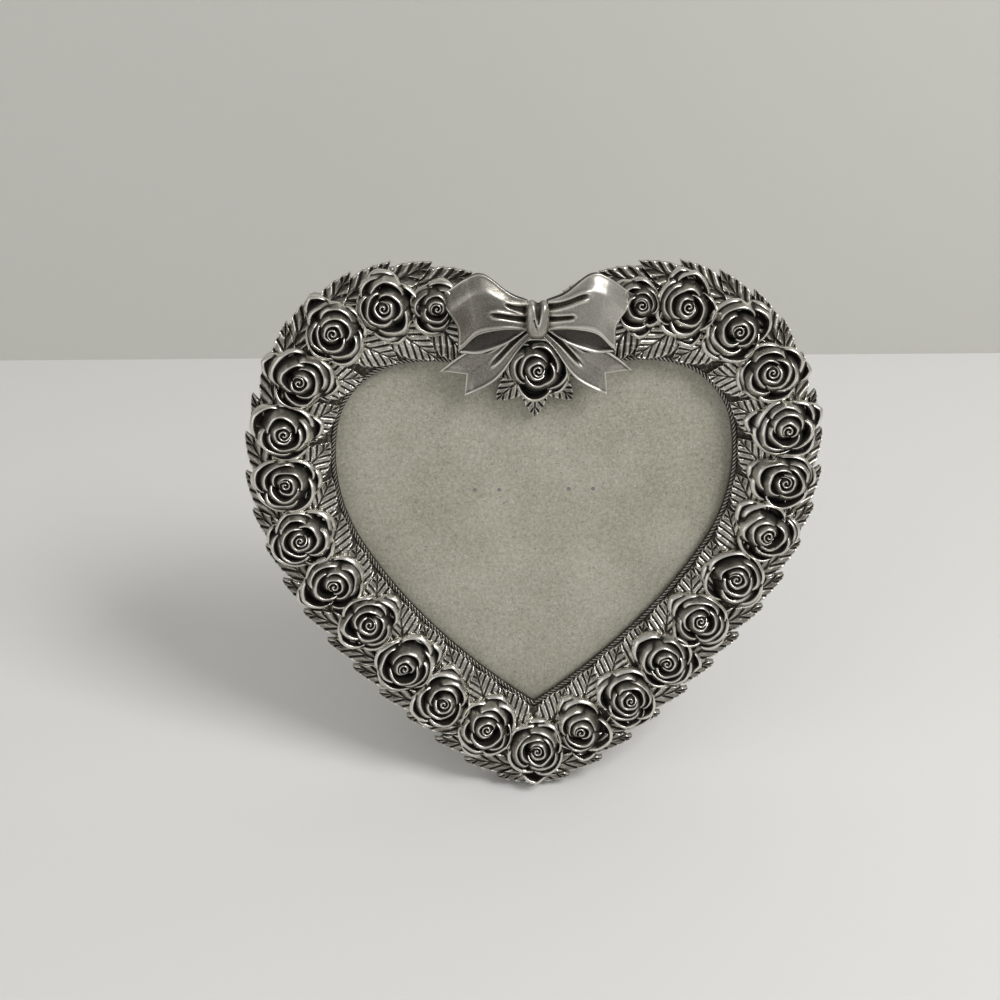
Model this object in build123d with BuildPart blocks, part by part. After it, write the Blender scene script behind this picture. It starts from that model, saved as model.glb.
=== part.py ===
from build123d import *
import os
from math import cos, radians, sin, tan

os.makedirs("parts", exist_ok=True)

# A heart shaped photo frame that leans back on a hinged easel leg. The casting is drawn on a
# leaning plane: local X runs to the viewer's right, local Y up the frame from the bottom point
# of the casting, and local Z out of the front. Lengths are millimetres and angles degrees.

# Casting outline
heart_width = 128.8
heart_height = 124.6
lean = 15.0
ring_depth = 5.1
bed_rise = 2.2
outer_slope = 4.2
tip_flat = 0.3
outline_start_angle = 13.0
outline_shares = (
    (0.0, 0.0), (0.293, 0.074), (0.758, 0.319), (0.967, 0.532), (0.868, 0.876), (0.425, 1.0),
    (0.0, 0.896),
)

# Window
window_width = 89.8
window_height = 82.0
tip_border = 21.0
inner_slope = 4.4
lip_width = 1.1
lip_rise = 0.55
lip_seat = 0.4
lip_round = 0.3
window_start_angle = 34.0
window_shares = (
    (0.0, 0.0), (0.561, 0.261), (0.875, 0.487), (0.989, 0.813), (0.657, 0.995), (0.0, 0.883),
)

# Glass, board and velvet in their rebate
rebate_width = 2.2
lip_depth = 1.2
glass_thickness = 1.5
board_thickness = 1.8
pane_clearance = 0.25

# Roses
roses_per_side = 12
rose_height = 5.0
rose_gap = 0.16
centre_rose_radius = 5.3
last_rose_share = 0.79
path_start_angle = 20.0
path_shares = ((0.0, 0.083), (0.396, 0.220), (0.756, 0.455), (0.789, 0.820), (0.348, 0.931))
path_step_share = 0.0848
centre_rose_share = 0.820
petal_turn = 47.0
tier_counts = (5, 5, 3)
tier_place_shares = (0.47, 0.33, 0.19)
tier_lobe_shares = (0.53, 0.36, 0.24)
tier_wall_share = 0.12
tier_top_shares = (0.46, 0.72, 0.90)
tier_cup_share = 0.2
bud_radius_share = 0.15

# Leaves
leaf_thin = 0.8
leaf_thick = 1.1
outer_leaf_length = 12.5
outer_leaf_width = 7.0
outer_leaf_lean = 32.0
outer_leaf_count = 22
leaf_overhang = 1.2
inner_leaf_length = 10.5
inner_leaf_width = 6.8
inner_leaf_lean = 38.0
inner_leaf_count = 16
border_divide = 9.8
divide_gap = 0.2
tip_leaf_length = 7.0
tip_leaf_width = 9.0
tip_leaf_overhang = 0.6
cleft_leaf_length = 9.5
cleft_leaf_width = 6.0
cleft_leaf_reach = 12.0
cleft_leaf_spread = 46.0
trim_gap = 0.1

# Bow
bow_reach = 20.6
knot_share = 0.913
bow_seat_gap = 0.1
tail_thickness = 1.4
loop_back = 1.0
loop_rise = 4.9
loop_end_rise = 2.6
knot_width = 5.8
knot_height = 8.2
knot_rise = 5.4
knot_round = 1.2
knot_fold_share = 0.17
fold_width = 0.9
loop_start_share = 0.55
loop_crest_share = 0.58
fold_start_share = 0.55
loop_top_shares = ((0.15, 0.185), (0.32, 0.26), (0.52, 0.42), (0.75, 0.43), (0.985, 0.22))
loop_end_shares = ((0.985, 0.22), (0.90, -0.05), (0.83, -0.306))
loop_foot_shares = ((0.83, -0.306), (0.626, -0.369), (0.35, -0.30), (0.15, -0.14))
mouth_top_shares = ((0.84, -0.36), (0.57, -0.155), (0.36, -0.105), (0.15, -0.14))
loop_fold_shares = ((0.62, 0.24), (0.70, 0.02), (0.50, -0.05))
tail_inner_shares = ((0.01, -0.15), (0.185, -0.34), (0.427, -0.665), (0.767, -0.854))
tail_notch_share = (0.757, -0.68)
tail_outer_shares = ((1.01, -0.578), (0.85, -0.44), (0.5, -0.22), (0.01, 0.05))
tail_fold_shares = ((0.62, -0.70), (0.80, -0.56))

# Hinge
hinge_row_share = 0.582
hinge_width = 31.0
leaf_metal = 0.55
hinge_plate_rise = 4.4
row_to_pivot = 5.0
knuckle_radius = 1.5
knuckle_gap = 0.15
knuckle_half = 7.0
side_gap = 0.1
pin_radius = 0.8
pin_fit = 0.05
staple_inner = 8.0
staple_outer = 13.6
staple_radius = 0.4
staple_fit = 0.05

# Easel leg
leg_angle = 16.0
leg_board_thickness = 1.8
leg_velvet_thickness = 0.5
leg_top_gap = 2.0
leg_top_width = 28.0
leg_foot_width = 18.0
leg_corner = 2.0
moving_plate_length = 15.0
leg_rivet_radius = 1.0
leg_rivet_head_radius = 2.0
leg_rivet_head_rise = 0.7
leg_rivet_drop = 10.0
leg_rivet_spread = 8.0

# Turn clips
clip_shares = (0.30, 0.80)
clip_length = 13.0
clip_width = 5.0
clip_thickness = 0.8
clip_gap = 0.1
clip_inset = 3.8
clip_rivet_radius = 1.0
clip_rivet_fit = 0.05
clip_head_radius = 2.1
clip_head_rise = 0.8
clip_rivet_depth = 3.0

# One overrun that every through cut shares
overrun = 1.0

# The leaning plane. The floor takes a small flat off the back edge of the bottom point, and the
# middle of that flat is the origin.
tip_z = ring_depth * sin(radians(lean)) - tip_flat
flat_back = ring_depth * cos(radians(lean)) + tip_flat * tan(radians(lean))
flat_front = (ring_depth - tip_flat / sin(radians(lean))) * cos(radians(lean))
tip_y = -(flat_back + flat_front) / 2
face = Plane(
    origin=(0, tip_y, tip_z),
    x_dir=(1, 0, 0),
    z_dir=(0, -cos(radians(lean)), sin(radians(lean))),
)
bow_level = bed_rise + leaf_thick + bow_seat_gap
loop_level = bow_level + tail_thickness


def arc_chain(shares, width, height, foot, angle):
    """Draw tangent arcs through points given as shares of a half width and a height."""
    points = [(share[0] * width / 2, foot + share[1] * height) for share in shares]
    heading = Vector(cos(radians(angle)), sin(radians(angle)))
    for start, end in zip(points, points[1:]):
        arc = TangentArc(start, end, tangent=heading)
        heading = arc % 1


def filled_heart(half, grow):
    """Fill the heart of one half outline and its mirror image, grown or shrunk by an amount."""
    with BuildSketch() as heart:
        with BuildLine():
            add(half)
            mirror(half, about=Plane.YZ)
        make_face()
        if grow:
            offset(amount=grow, kind=Kind.INTERSECTION if grow > 0 else Kind.ARC)
    return heart.sketch


def leaf_shape(tip, direction, length, width):
    """Fill a pointed oval leaf that ends at its tip and points along a unit direction."""
    side = Vector(-direction.Y, direction.X) * (width / 2)
    root = tip - direction * length
    middle = tip - direction * (length / 2)
    with BuildSketch() as leaf:
        with BuildLine():
            ThreePointArc(root, middle + side, tip)
            ThreePointArc(tip, middle - side, root)
        make_face()
    return leaf.sketch


def leaf_row(half, count, out, turn, length, width):
    """Fill a border's leaves, whose tips stand out from a half outline and overlap the next leaf."""
    leaves = []
    covered = []
    for index in range(count):
        share = (index + 1) / (count + 1)
        heading = half % share
        outward = Vector(heading.Y, -heading.X)
        tip = (half @ share) + outward * out
        whole = leaf_shape(tip, heading.rotate(Axis.Z, turn), length, width)
        with BuildSketch() as leaf:
            add(whole)
            add(covered, mode=Mode.SUBTRACT)
        leaves.append(leaf.faces().sort_by(SortBy.AREA)[-1])
        with BuildSketch() as room:
            add(whole)
            offset(amount=trim_gap)
        covered = [room.sketch]
    return leaves


def prism(shape, low, high):
    """Extrude a flat shape out of the leaning plane from one level to another."""
    with BuildPart() as block:
        with BuildSketch(face.offset(low)):
            add(shape)
        extrude(amount=high - low)
    return block.part


def finish(part, name):
    """Label a finished piece and write its file."""
    part.label = name
    export_step(part, f"parts/{name}.step")


def front_axis():
    """Give the axis that points out of the front of the casting."""
    return Axis(face.origin, face.z_dir)


with BuildLine() as outline_half:
    arc_chain(outline_shares, heart_width, heart_height, 0, outline_start_angle)
with BuildLine() as window_half:
    arc_chain(window_shares, window_width, window_height, tip_border, window_start_angle)
with BuildLine() as rose_path:
    arc_chain(path_shares, heart_width, heart_height, 0, path_start_angle)
outline_wire = outline_half.wires()[0]
window_wire = window_half.wires()[0]
path_wire = rose_path.wires()[0]

outline = filled_heart(outline_half.line, 0)
window = filled_heart(window_half.line, 0)
lip_edge = filled_heart(window_half.line, lip_width)
rebate = filled_heart(window_half.line, rebate_width)
pane = filled_heart(window_half.line, rebate_width - pane_clearance)

# Where the roses stand: from the bottom point up each side, with a smaller one by the bow
rose_spacing = path_wire.length * path_step_share
rose_radius = rose_spacing / 2 - rose_gap
last_rose_radius = rose_radius * last_rose_share
side_places = [path_wire @ (path_step_share * index) for index in range(1, roses_per_side)]
side_places.append(path_wire @ 1)
centre_place = Vector(0, centre_rose_share * heart_height)


def casting_front(grow, lift):
    """Give the solid whose front is the casting's sloped front, raised and grown by two amounts."""
    drop = bed_rise * (outer_slope + grow) / outer_slope
    with BuildPart() as blank:
        with BuildSketch(face.offset(-ring_depth)):
            add(filled_heart(outline_half.line, grow))
            add(window, mode=Mode.SUBTRACT)
        extrude(amount=ring_depth + bed_rise + lift)
        front = blank.faces().sort_by(front_axis())[-1]
        rim = front.outer_wire().edges()
        chamfer(rim, length=outer_slope + grow, length2=drop, reference=front)
        with BuildSketch(face.offset(lift)):
            add(window)
        with BuildSketch(face.offset(bed_rise + lift)):
            add(filled_heart(window_half.line, inner_slope))
        loft(ruled=True, mode=Mode.SUBTRACT)
    return blank.part


# Turn clips: where their rivets stand on the back of the casting, and which way each one points
clip_places = []
for clip_share in clip_shares:
    clip_heading = window_wire % clip_share
    clip_outward = Vector(clip_heading.Y, -clip_heading.X)
    clip_place = (window_wire @ clip_share) + clip_outward * (rebate_width + clip_inset)
    for clip_side in (1, -1):
        place = Vector(clip_place.X * clip_side, clip_place.Y)
        inward = Vector(-clip_outward.X * clip_side, -clip_outward.Y)
        clip_places.append((place, inward))

# Casting: sloped front, rebate for the glass and board, seat for the lip, blind rivet holes
with BuildPart() as heart_ring:
    add(casting_front(0, 0))
    add(prism(rebate, -ring_depth, -lip_depth), mode=Mode.SUBTRACT)
    add(prism(lip_edge, -lip_seat, bed_rise), mode=Mode.SUBTRACT)
    with BuildSketch(face.offset(-ring_depth)):
        with Locations(*[place for place, inward in clip_places]):
            Circle(clip_rivet_radius)
    extrude(amount=clip_rivet_depth, mode=Mode.SUBTRACT)
    split(bisect_by=Plane.XY, keep=Keep.TOP)
finish(heart_ring.part, "heart_ring")

# Ribbed lip round the window: the ribs are too fine for the solid, which keeps a rounded front
with BuildPart() as inner_lip:
    with BuildSketch(face.offset(-lip_seat)):
        add(lip_edge)
        add(window, mode=Mode.SUBTRACT)
    extrude(amount=lip_seat + lip_rise)
    fillet(inner_lip.faces().sort_by(front_axis())[-1].edges(), lip_round)
finish(inner_lip.part, "inner_lip")


# Bow outlines, as shares of its reach from the middle of the knot
knot_middle = Vector(0, knot_share * heart_height)


def bow_point(share):
    """Give the place of a point of the bow's right half."""
    return knot_middle + Vector(share[0], share[1]) * bow_reach


def bow_curve(shares):
    """Draw a smooth edge of the bow's right half."""
    return Spline(*[bow_point(share) for share in shares])


with BuildSketch() as loop_outline:
    with BuildLine():
        bow_curve(loop_top_shares)
        bow_curve(loop_end_shares)
        bow_curve(loop_foot_shares)
        Line(bow_point(loop_foot_shares[-1]), bow_point(loop_top_shares[0]))
    make_face()
with BuildSketch() as loop_front:
    with BuildLine():
        bow_curve(loop_top_shares)
        bow_curve(loop_end_shares)
        Line(bow_point(loop_end_shares[-1]), bow_point(mouth_top_shares[0]))
        bow_curve(mouth_top_shares)
        Line(bow_point(mouth_top_shares[-1]), bow_point(loop_top_shares[0]))
    make_face()
    add(loop_outline.sketch, mode=Mode.INTERSECT)
with BuildSketch() as tail_outline:
    with BuildLine():
        bow_curve(tail_inner_shares)
        Line(bow_point(tail_inner_shares[-1]), bow_point(tail_notch_share))
        Line(bow_point(tail_notch_share), bow_point(tail_outer_shares[0]))
        bow_curve(tail_outer_shares)
        Line(bow_point(tail_outer_shares[-1]), bow_point(tail_inner_shares[0]))
    make_face()


def flute(start, end, start_level, end_level):
    """Give a round rod between two places and levels, which cuts a gathered fold."""
    low = face.from_local_coords(start + Vector(0, 0, start_level))
    high = face.from_local_coords(end + Vector(0, 0, end_level))
    with BuildPart() as rod:
        with BuildSketch(Plane(origin=low, z_dir=high - low)):
            Circle(fold_width / 2)
        extrude(amount=(high - low).length)
    return rod.part


# Roses: three tiers of cupped petals round a bud, on a flat foot
def build_rose(place, radius, turn):
    """Give the solid of one rose."""
    with BuildPart() as bloom:
        for tier, count in enumerate(tier_counts):
            rise = rose_height * tier_top_shares[tier]
            reach = radius * tier_place_shares[tier]
            lobe = radius * tier_lobe_shares[tier]
            angle = turn + petal_turn * tier
            with BuildSketch(face.offset(bed_rise)):
                with Locations(place):
                    Circle(reach)
                    with PolarLocations(reach, count, start_angle=angle):
                        Circle(lobe)
            extrude(amount=rise)
            with BuildSketch(face.offset(bed_rise + rise)):
                with Locations(place):
                    with PolarLocations(reach, count, start_angle=angle):
                        Circle(lobe - radius * tier_wall_share)
            extrude(amount=-rose_height * tier_cup_share, mode=Mode.SUBTRACT)
        with BuildSketch(face.offset(bed_rise)):
            with Locations(place):
                Circle(radius * bud_radius_share)
        extrude(amount=rose_height)
    return bloom.part


def disc(place, radius):
    """Give a flat round shape at a place."""
    with BuildSketch() as spot:
        with Locations(place):
            Circle(radius)
    return spot.sketch


bow_top = loop_level + knot_rise
loop_room = prism(loop_outline.sketch, loop_level - trim_gap, bow_top)
rose_names = []
rose_room = []
rose_places = [(Vector(0, path_shares[0][1] * heart_height), rose_radius)]
for index, place in enumerate(side_places):
    radius = last_rose_radius if index == len(side_places) - 1 else rose_radius
    rose_places.append((place, radius))
    rose_places.append((Vector(-place.X, place.Y), radius))
rose_places.append((centre_place, centre_rose_radius))
for index, (place, radius) in enumerate(rose_places):
    name = f"rose_{index + 1:02d}"
    with BuildPart() as rose:
        add(build_rose(place, radius, petal_turn * index))
        if radius == last_rose_radius:
            neighbour = rose_places[index - 2][0]
            near = disc(neighbour, rose_radius + rose_gap)
            add(prism(near, bed_rise, bow_top), mode=Mode.SUBTRACT)
            side = 1 if place.X > 0 else -1
            room = loop_room if side > 0 else mirror(loop_room, about=Plane.YZ, mode=Mode.PRIVATE)
            add(room, mode=Mode.SUBTRACT)
    finish(rose.part, name)

# Room that the leaf borders leave round the roses
with BuildSketch() as rose_rooms:
    for place, radius in rose_places:
        with Locations(place):
            Circle(radius + trim_gap)
rose_clear = prism(rose_rooms.sketch, -ring_depth, bow_top)

# Leaves at the bottom point and under the middle rose
down = Vector(0, -1)
tip_leaf_shape = leaf_shape(Vector(0, -tip_leaf_overhang), down, tip_leaf_length, tip_leaf_width)
cleft_leaves_shape = []
for turn in (-cleft_leaf_spread, 0, cleft_leaf_spread):
    direction = down.rotate(Axis.Z, turn)
    cleft_tip = centre_place + direction * cleft_leaf_reach
    cleft_leaves_shape.append(leaf_shape(cleft_tip, direction, cleft_leaf_length, cleft_leaf_width))
leaf_top = bed_rise + leaf_thick
with BuildPart() as tip_leaf:
    add(prism(tip_leaf_shape, -leaf_thick, leaf_top))
    add(casting_front(leaf_overhang, leaf_thick), mode=Mode.INTERSECT)
    add(heart_ring.part, mode=Mode.SUBTRACT)
    add(rose_clear, mode=Mode.SUBTRACT)
finish(tip_leaf.part, "tip_leaf")
with BuildPart() as cleft_leaves:
    for shape in cleft_leaves_shape:
        add(prism(shape, lip_rise, leaf_top))
    add(casting_front(0, 0), mode=Mode.SUBTRACT)
    add(rose_clear, mode=Mode.SUBTRACT)
finish(cleft_leaves.part, "cleft_leaves")

# Leaf borders: overlapping leaves of two thicknesses that lie on the casting's slopes
outer_side = filled_heart(outline_half.line, divide_gap - border_divide)
inner_side = filled_heart(outline_half.line, -divide_gap - border_divide)
middle_outer = prism(outer_side, -ring_depth, bow_top)
middle_inner = prism(inner_side, -ring_depth, bow_top)
lip_clear = prism(lip_edge, -ring_depth, bow_top)
tip_clear = prism(tip_leaf_shape, -ring_depth, bow_top)
right_side = Plane(origin=(trim_gap / 2, 0, 0), z_dir=(1, 0, 0))


def leaf_tier(row, lift):
    """Cut one row of leaves from a layer of one thickness on the casting's slopes."""
    with BuildPart() as tier:
        add(prism(row, -leaf_thick, leaf_top))
        add(casting_front(leaf_overhang, lift), mode=Mode.INTERSECT)
    return tier.part


def leaf_tiers(leaves):
    """Give a border's leaves, every second one of them thicker."""
    return [leaf_tier(leaves[first::2], lift) for first, lift in enumerate((leaf_thin, leaf_thick))]


outer_leaf_row = leaf_row(
    outline_wire, outer_leaf_count, leaf_overhang, -outer_leaf_lean, outer_leaf_length, outer_leaf_width
)
outer_tiers = leaf_tiers(outer_leaf_row)
inner_leaf_row = leaf_row(
    window_wire, inner_leaf_count, lip_width, inner_leaf_lean, inner_leaf_length, inner_leaf_width
)
inner_tiers = leaf_tiers(inner_leaf_row)
with BuildPart() as outer_leaves_right:
    add(outer_tiers)
    add(heart_ring.part, mode=Mode.SUBTRACT)
    add(middle_outer, mode=Mode.SUBTRACT)
    add(rose_clear, mode=Mode.SUBTRACT)
    add(tip_clear, mode=Mode.SUBTRACT)
    split(bisect_by=right_side, keep=Keep.TOP)
finish(outer_leaves_right.part, "outer_leaves_right")
with BuildPart() as outer_leaves_left:
    mirror(outer_leaves_right.part, about=Plane.YZ)
finish(outer_leaves_left.part, "outer_leaves_left")

with BuildPart() as inner_leaves_right:
    add(inner_tiers)
    add(middle_inner, mode=Mode.INTERSECT)
    add(heart_ring.part, mode=Mode.SUBTRACT)
    add(rose_clear, mode=Mode.SUBTRACT)
    add(lip_clear, mode=Mode.SUBTRACT)
    for shape in cleft_leaves_shape:
        add(prism(shape, -ring_depth, bow_top), mode=Mode.SUBTRACT)
    split(bisect_by=right_side, keep=Keep.TOP)
finish(inner_leaves_right.part, "inner_leaves_right")
with BuildPart() as inner_leaves_left:
    mirror(inner_leaves_right.part, about=Plane.YZ)
finish(inner_leaves_left.part, "inner_leaves_left")

# Bow: tails on the leaves, loops on the tails, and the knot between the loops
knot_half = knot_width / 2
arch = Plane(origin=face.origin, x_dir=face.x_dir, z_dir=-face.y_dir)
with BuildPart() as bow_loop_right:
    add(prism(loop_outline.sketch, loop_level, loop_level + loop_back))
    add(prism(loop_front.sketch, loop_level + loop_back, loop_level + loop_rise))
    with BuildSketch(arch):
        with BuildLine():
            arch_start = (0, loop_level + knot_rise * loop_start_share)
            arch_middle = (bow_reach * loop_crest_share, loop_level + loop_rise)
            arch_end = (bow_reach, loop_level + loop_end_rise)
            ThreePointArc(arch_start, arch_middle, arch_end)
            Polyline(
                arch_end,
                (bow_reach + overrun, loop_level + loop_end_rise),
                (bow_reach + overrun, bow_top + overrun),
                (0, bow_top + overrun),
                arch_start,
            )
        make_face()
    extrude(amount=heart_height * 2, both=True, mode=Mode.SUBTRACT)
    for share in loop_fold_shares:
        fold_start = knot_middle + Vector(knot_half, knot_height * share[1] / 2)
        fold_end = bow_point(share)
        fold_level = loop_level + loop_rise * fold_start_share
        add(flute(fold_start, fold_end, fold_level, loop_level + loop_rise), mode=Mode.SUBTRACT)
    with BuildSketch(face.offset(loop_level)):
        with Locations(knot_middle):
            Rectangle(knot_width, bow_reach * 2)
    extrude(amount=bow_top, mode=Mode.SUBTRACT)
finish(bow_loop_right.part, "bow_loop_right")
with BuildPart() as bow_loop_left:
    mirror(bow_loop_right.part, about=Plane.YZ)
finish(bow_loop_left.part, "bow_loop_left")

with BuildPart() as bow_knot:
    with BuildSketch(face.offset(loop_level)):
        with Locations(knot_middle):
            RectangleRounded(knot_width, knot_height, knot_round)
    extrude(amount=knot_rise)
    fillet(bow_knot.faces().sort_by(front_axis())[-1].edges(), knot_round)
    for side in (-1, 1):
        across = knot_width * knot_fold_share * side
        fold_low = knot_middle + Vector(across, -knot_height)
        fold_high = knot_middle + Vector(across, knot_height)
        add(flute(fold_low, fold_high, bow_top, bow_top), mode=Mode.SUBTRACT)
finish(bow_knot.part, "bow_knot")

with BuildPart() as bow_tail_right:
    add(prism(tail_outline.sketch, bow_level, loop_level))
    for share in tail_fold_shares:
        add(flute(knot_middle, bow_point(share), loop_level, loop_level), mode=Mode.SUBTRACT)
    add(rose_clear, mode=Mode.SUBTRACT)
    split(bisect_by=right_side, keep=Keep.TOP)
finish(bow_tail_right.part, "bow_tail_right")
with BuildPart() as bow_tail_left:
    mirror(bow_tail_right.part, about=Plane.YZ)
finish(bow_tail_left.part, "bow_tail_left")

# Glass, chipboard and velvet in the rebate, with holes for the staples' prongs
hinge_row = Vector(0, hinge_row_share * heart_height)
prong_reaches = (-staple_outer, -staple_inner, staple_inner, staple_outer)
prong_places = [hinge_row + Vector(reach, 0) for reach in prong_reaches]
glass_back = lip_depth + glass_thickness
board_back = glass_back + board_thickness
with BuildSketch() as prong_holes:
    with Locations(*prong_places):
        Circle(staple_radius + staple_fit)
with BuildPart() as glass_pane:
    add(prism(pane, -glass_back, -lip_depth))
finish(glass_pane.part, "glass_pane")
with BuildPart() as backing_board:
    add(prism(pane, -board_back, -glass_back))
    add(prism(prong_holes.sketch, -board_back, -glass_back), mode=Mode.SUBTRACT)
finish(backing_board.part, "backing_board")
with BuildPart() as velvet_backing:
    add(prism(pane, -ring_depth, -board_back))
    add(prism(prong_holes.sketch, -ring_depth, -board_back), mode=Mode.SUBTRACT)
finish(velvet_backing.part, "velvet_backing")

# Hinge: the fixed leaf's plate and two outer knuckles, the pin, and the staples
pivot_level = -(ring_depth + knuckle_gap + knuckle_radius)
pivot = face.from_local_coords(hinge_row + Vector(0, -row_to_pivot, pivot_level))
swing = Plane(origin=pivot, x_dir=face.y_dir, z_dir=face.x_dir)
plate_back = ring_depth + leaf_metal
hinge_half = hinge_width / 2
bore_radius = pin_radius + pin_fit
with BuildPart() as hinge_fixed_leaf:
    with BuildSketch(face.offset(-plate_back)):
        with Locations(hinge_row + Vector(0, (hinge_plate_rise - row_to_pivot) / 2)):
            Rectangle(hinge_width, hinge_plate_rise + row_to_pivot)
    extrude(amount=leaf_metal)
    with BuildSketch(swing.offset(-hinge_half)):
        Circle(knuckle_radius)
    extrude(amount=hinge_width)
    with BuildSketch(swing.offset(-hinge_half)):
        Circle(bore_radius)
    extrude(amount=hinge_width, mode=Mode.SUBTRACT)
    with BuildSketch(face.offset(-plate_back - knuckle_radius * 2)):
        with Locations(hinge_row + Vector(0, -row_to_pivot)):
            Rectangle((knuckle_half + side_gap) * 2, (knuckle_radius + leg_top_gap) * 2)
    extrude(amount=plate_back + knuckle_radius * 2, mode=Mode.SUBTRACT)
    add(prism(prong_holes.sketch, -plate_back - overrun, -ring_depth), mode=Mode.SUBTRACT)
finish(hinge_fixed_leaf.part, "hinge_fixed_leaf")
with BuildPart() as hinge_pin:
    with BuildSketch(swing.offset(-hinge_half)):
        Circle(pin_radius)
    extrude(amount=hinge_width)
finish(hinge_pin.part, "hinge_pin")
with BuildPart() as hinge_staples:
    with BuildSketch(face.offset(-plate_back)):
        with Locations(*prong_places):
            Circle(staple_radius)
    extrude(amount=plate_back - glass_back)
    with BuildSketch(face.offset(-plate_back - staple_radius * 2)):
        for side in (-1, 1):
            with Locations(hinge_row + Vector(side * (staple_inner + staple_outer) / 2, 0)):
                SlotCenterToCenter(staple_outer - staple_inner, staple_radius * 2)
    extrude(amount=staple_radius * 2)
finish(hinge_staples.part, "hinge_staples")

# Leg: built open, in its own plane through the pivot, and cut off level at the floor
leg_plane = Plane(
    origin=pivot,
    x_dir=(1, 0, 0),
    z_dir=(0, -cos(radians(leg_angle)), -sin(radians(leg_angle))),
)
plate_level = -knuckle_radius
velvet_level = plate_level + leaf_metal
board_level = velvet_level + leg_velvet_thickness
board_front = board_level + leg_board_thickness
leg_reach = pivot.Z / cos(radians(leg_angle)) + board_front
with BuildSketch() as leg_outline:
    with BuildLine():
        Polyline(
            (-leg_top_width / 2, -leg_top_gap),
            (leg_top_width / 2, -leg_top_gap),
            (leg_foot_width / 2, -leg_reach),
            (-leg_foot_width / 2, -leg_reach),
            close=True,
        )
    make_face()
    fillet(leg_outline.vertices().group_by(Axis.Y)[-1], leg_corner)
rivet_places = [Vector(side * leg_rivet_spread / 2, -leg_rivet_drop) for side in (-1, 1)]
with BuildSketch() as leg_rivet_holes:
    with Locations(*rivet_places):
        Circle(leg_rivet_radius + pin_fit)


def leg_layer(low, high):
    """Give a layer of the leg between two levels, drilled for its rivets and cut at the floor."""
    with BuildPart() as layer:
        with BuildSketch(leg_plane.offset(low)):
            add(leg_outline.sketch)
            add(leg_rivet_holes.sketch, mode=Mode.SUBTRACT)
        extrude(amount=high - low)
        split(bisect_by=Plane.XY, keep=Keep.TOP)
    return layer.part


with BuildPart() as easel_leg_board:
    add(leg_layer(board_level, board_front))
finish(easel_leg_board.part, "easel_leg_board")
with BuildPart() as easel_leg_velvet:
    add(leg_layer(velvet_level, board_level))
finish(easel_leg_velvet.part, "easel_leg_velvet")
with BuildPart() as hinge_moving_leaf:
    with BuildSketch(leg_plane.offset(plate_level)):
        with Locations((0, -moving_plate_length / 2)):
            Rectangle(knuckle_half * 2, moving_plate_length)
        add(leg_rivet_holes.sketch, mode=Mode.SUBTRACT)
    extrude(amount=leaf_metal)
    with BuildSketch(swing.offset(-knuckle_half)):
        Circle(knuckle_radius)
    extrude(amount=knuckle_half * 2)
    with BuildSketch(swing.offset(-hinge_half)):
        Circle(bore_radius)
    extrude(amount=hinge_width, mode=Mode.SUBTRACT)
finish(hinge_moving_leaf.part, "hinge_moving_leaf")
with BuildPart() as leg_rivets:
    with BuildSketch(leg_plane.offset(plate_level)):
        with Locations(*rivet_places):
            Circle(leg_rivet_radius)
    extrude(amount=board_front - plate_level)
    with BuildSketch(leg_plane.offset(plate_level - leg_rivet_head_rise)):
        with Locations(*rivet_places):
            Circle(leg_rivet_head_radius)
    extrude(amount=leg_rivet_head_rise)
    heads = leg_rivets.faces().sort_by(Axis(leg_plane.origin, leg_plane.z_dir))[:2]
    fillet(heads.edges(), leg_rivet_head_rise / 2)
finish(leg_rivets.part, "leg_rivets")

# Turn clips and their rivets on the back of the casting
clip_front = -(ring_depth + clip_gap)
clip_back = clip_front - clip_thickness
clip_spots = ("lower_right", "lower_left", "upper_right", "upper_left")
for spot, (place, inward) in zip(clip_spots, clip_places):
    span = clip_length - clip_width
    far_end = place + inward * span
    with BuildPart() as turn_clip:
        with BuildSketch(face.offset(clip_back)):
            SlotCenterPoint((place + far_end) / 2, far_end, clip_width)
            with Locations(place):
                Circle(clip_rivet_radius + clip_rivet_fit, mode=Mode.SUBTRACT)
        extrude(amount=clip_thickness)
    finish(turn_clip.part, f"turn_clip_{spot}")
with BuildPart() as clip_rivets:
    with BuildSketch(face.offset(clip_back)):
        with Locations(*[place for place, inward in clip_places]):
            Circle(clip_rivet_radius)
    extrude(amount=clip_rivet_depth - clip_back - ring_depth)
    with BuildSketch(face.offset(clip_back - clip_head_rise)):
        with Locations(*[place for place, inward in clip_places]):
            Circle(clip_head_radius)
    extrude(amount=clip_head_rise)
finish(clip_rivets.part, "clip_rivets")
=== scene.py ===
import logging
import math
import random
from dataclasses import dataclass, replace
from enum import Enum

import bmesh
import bpy
import numpy as np
from mathutils import Matrix, Vector


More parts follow.
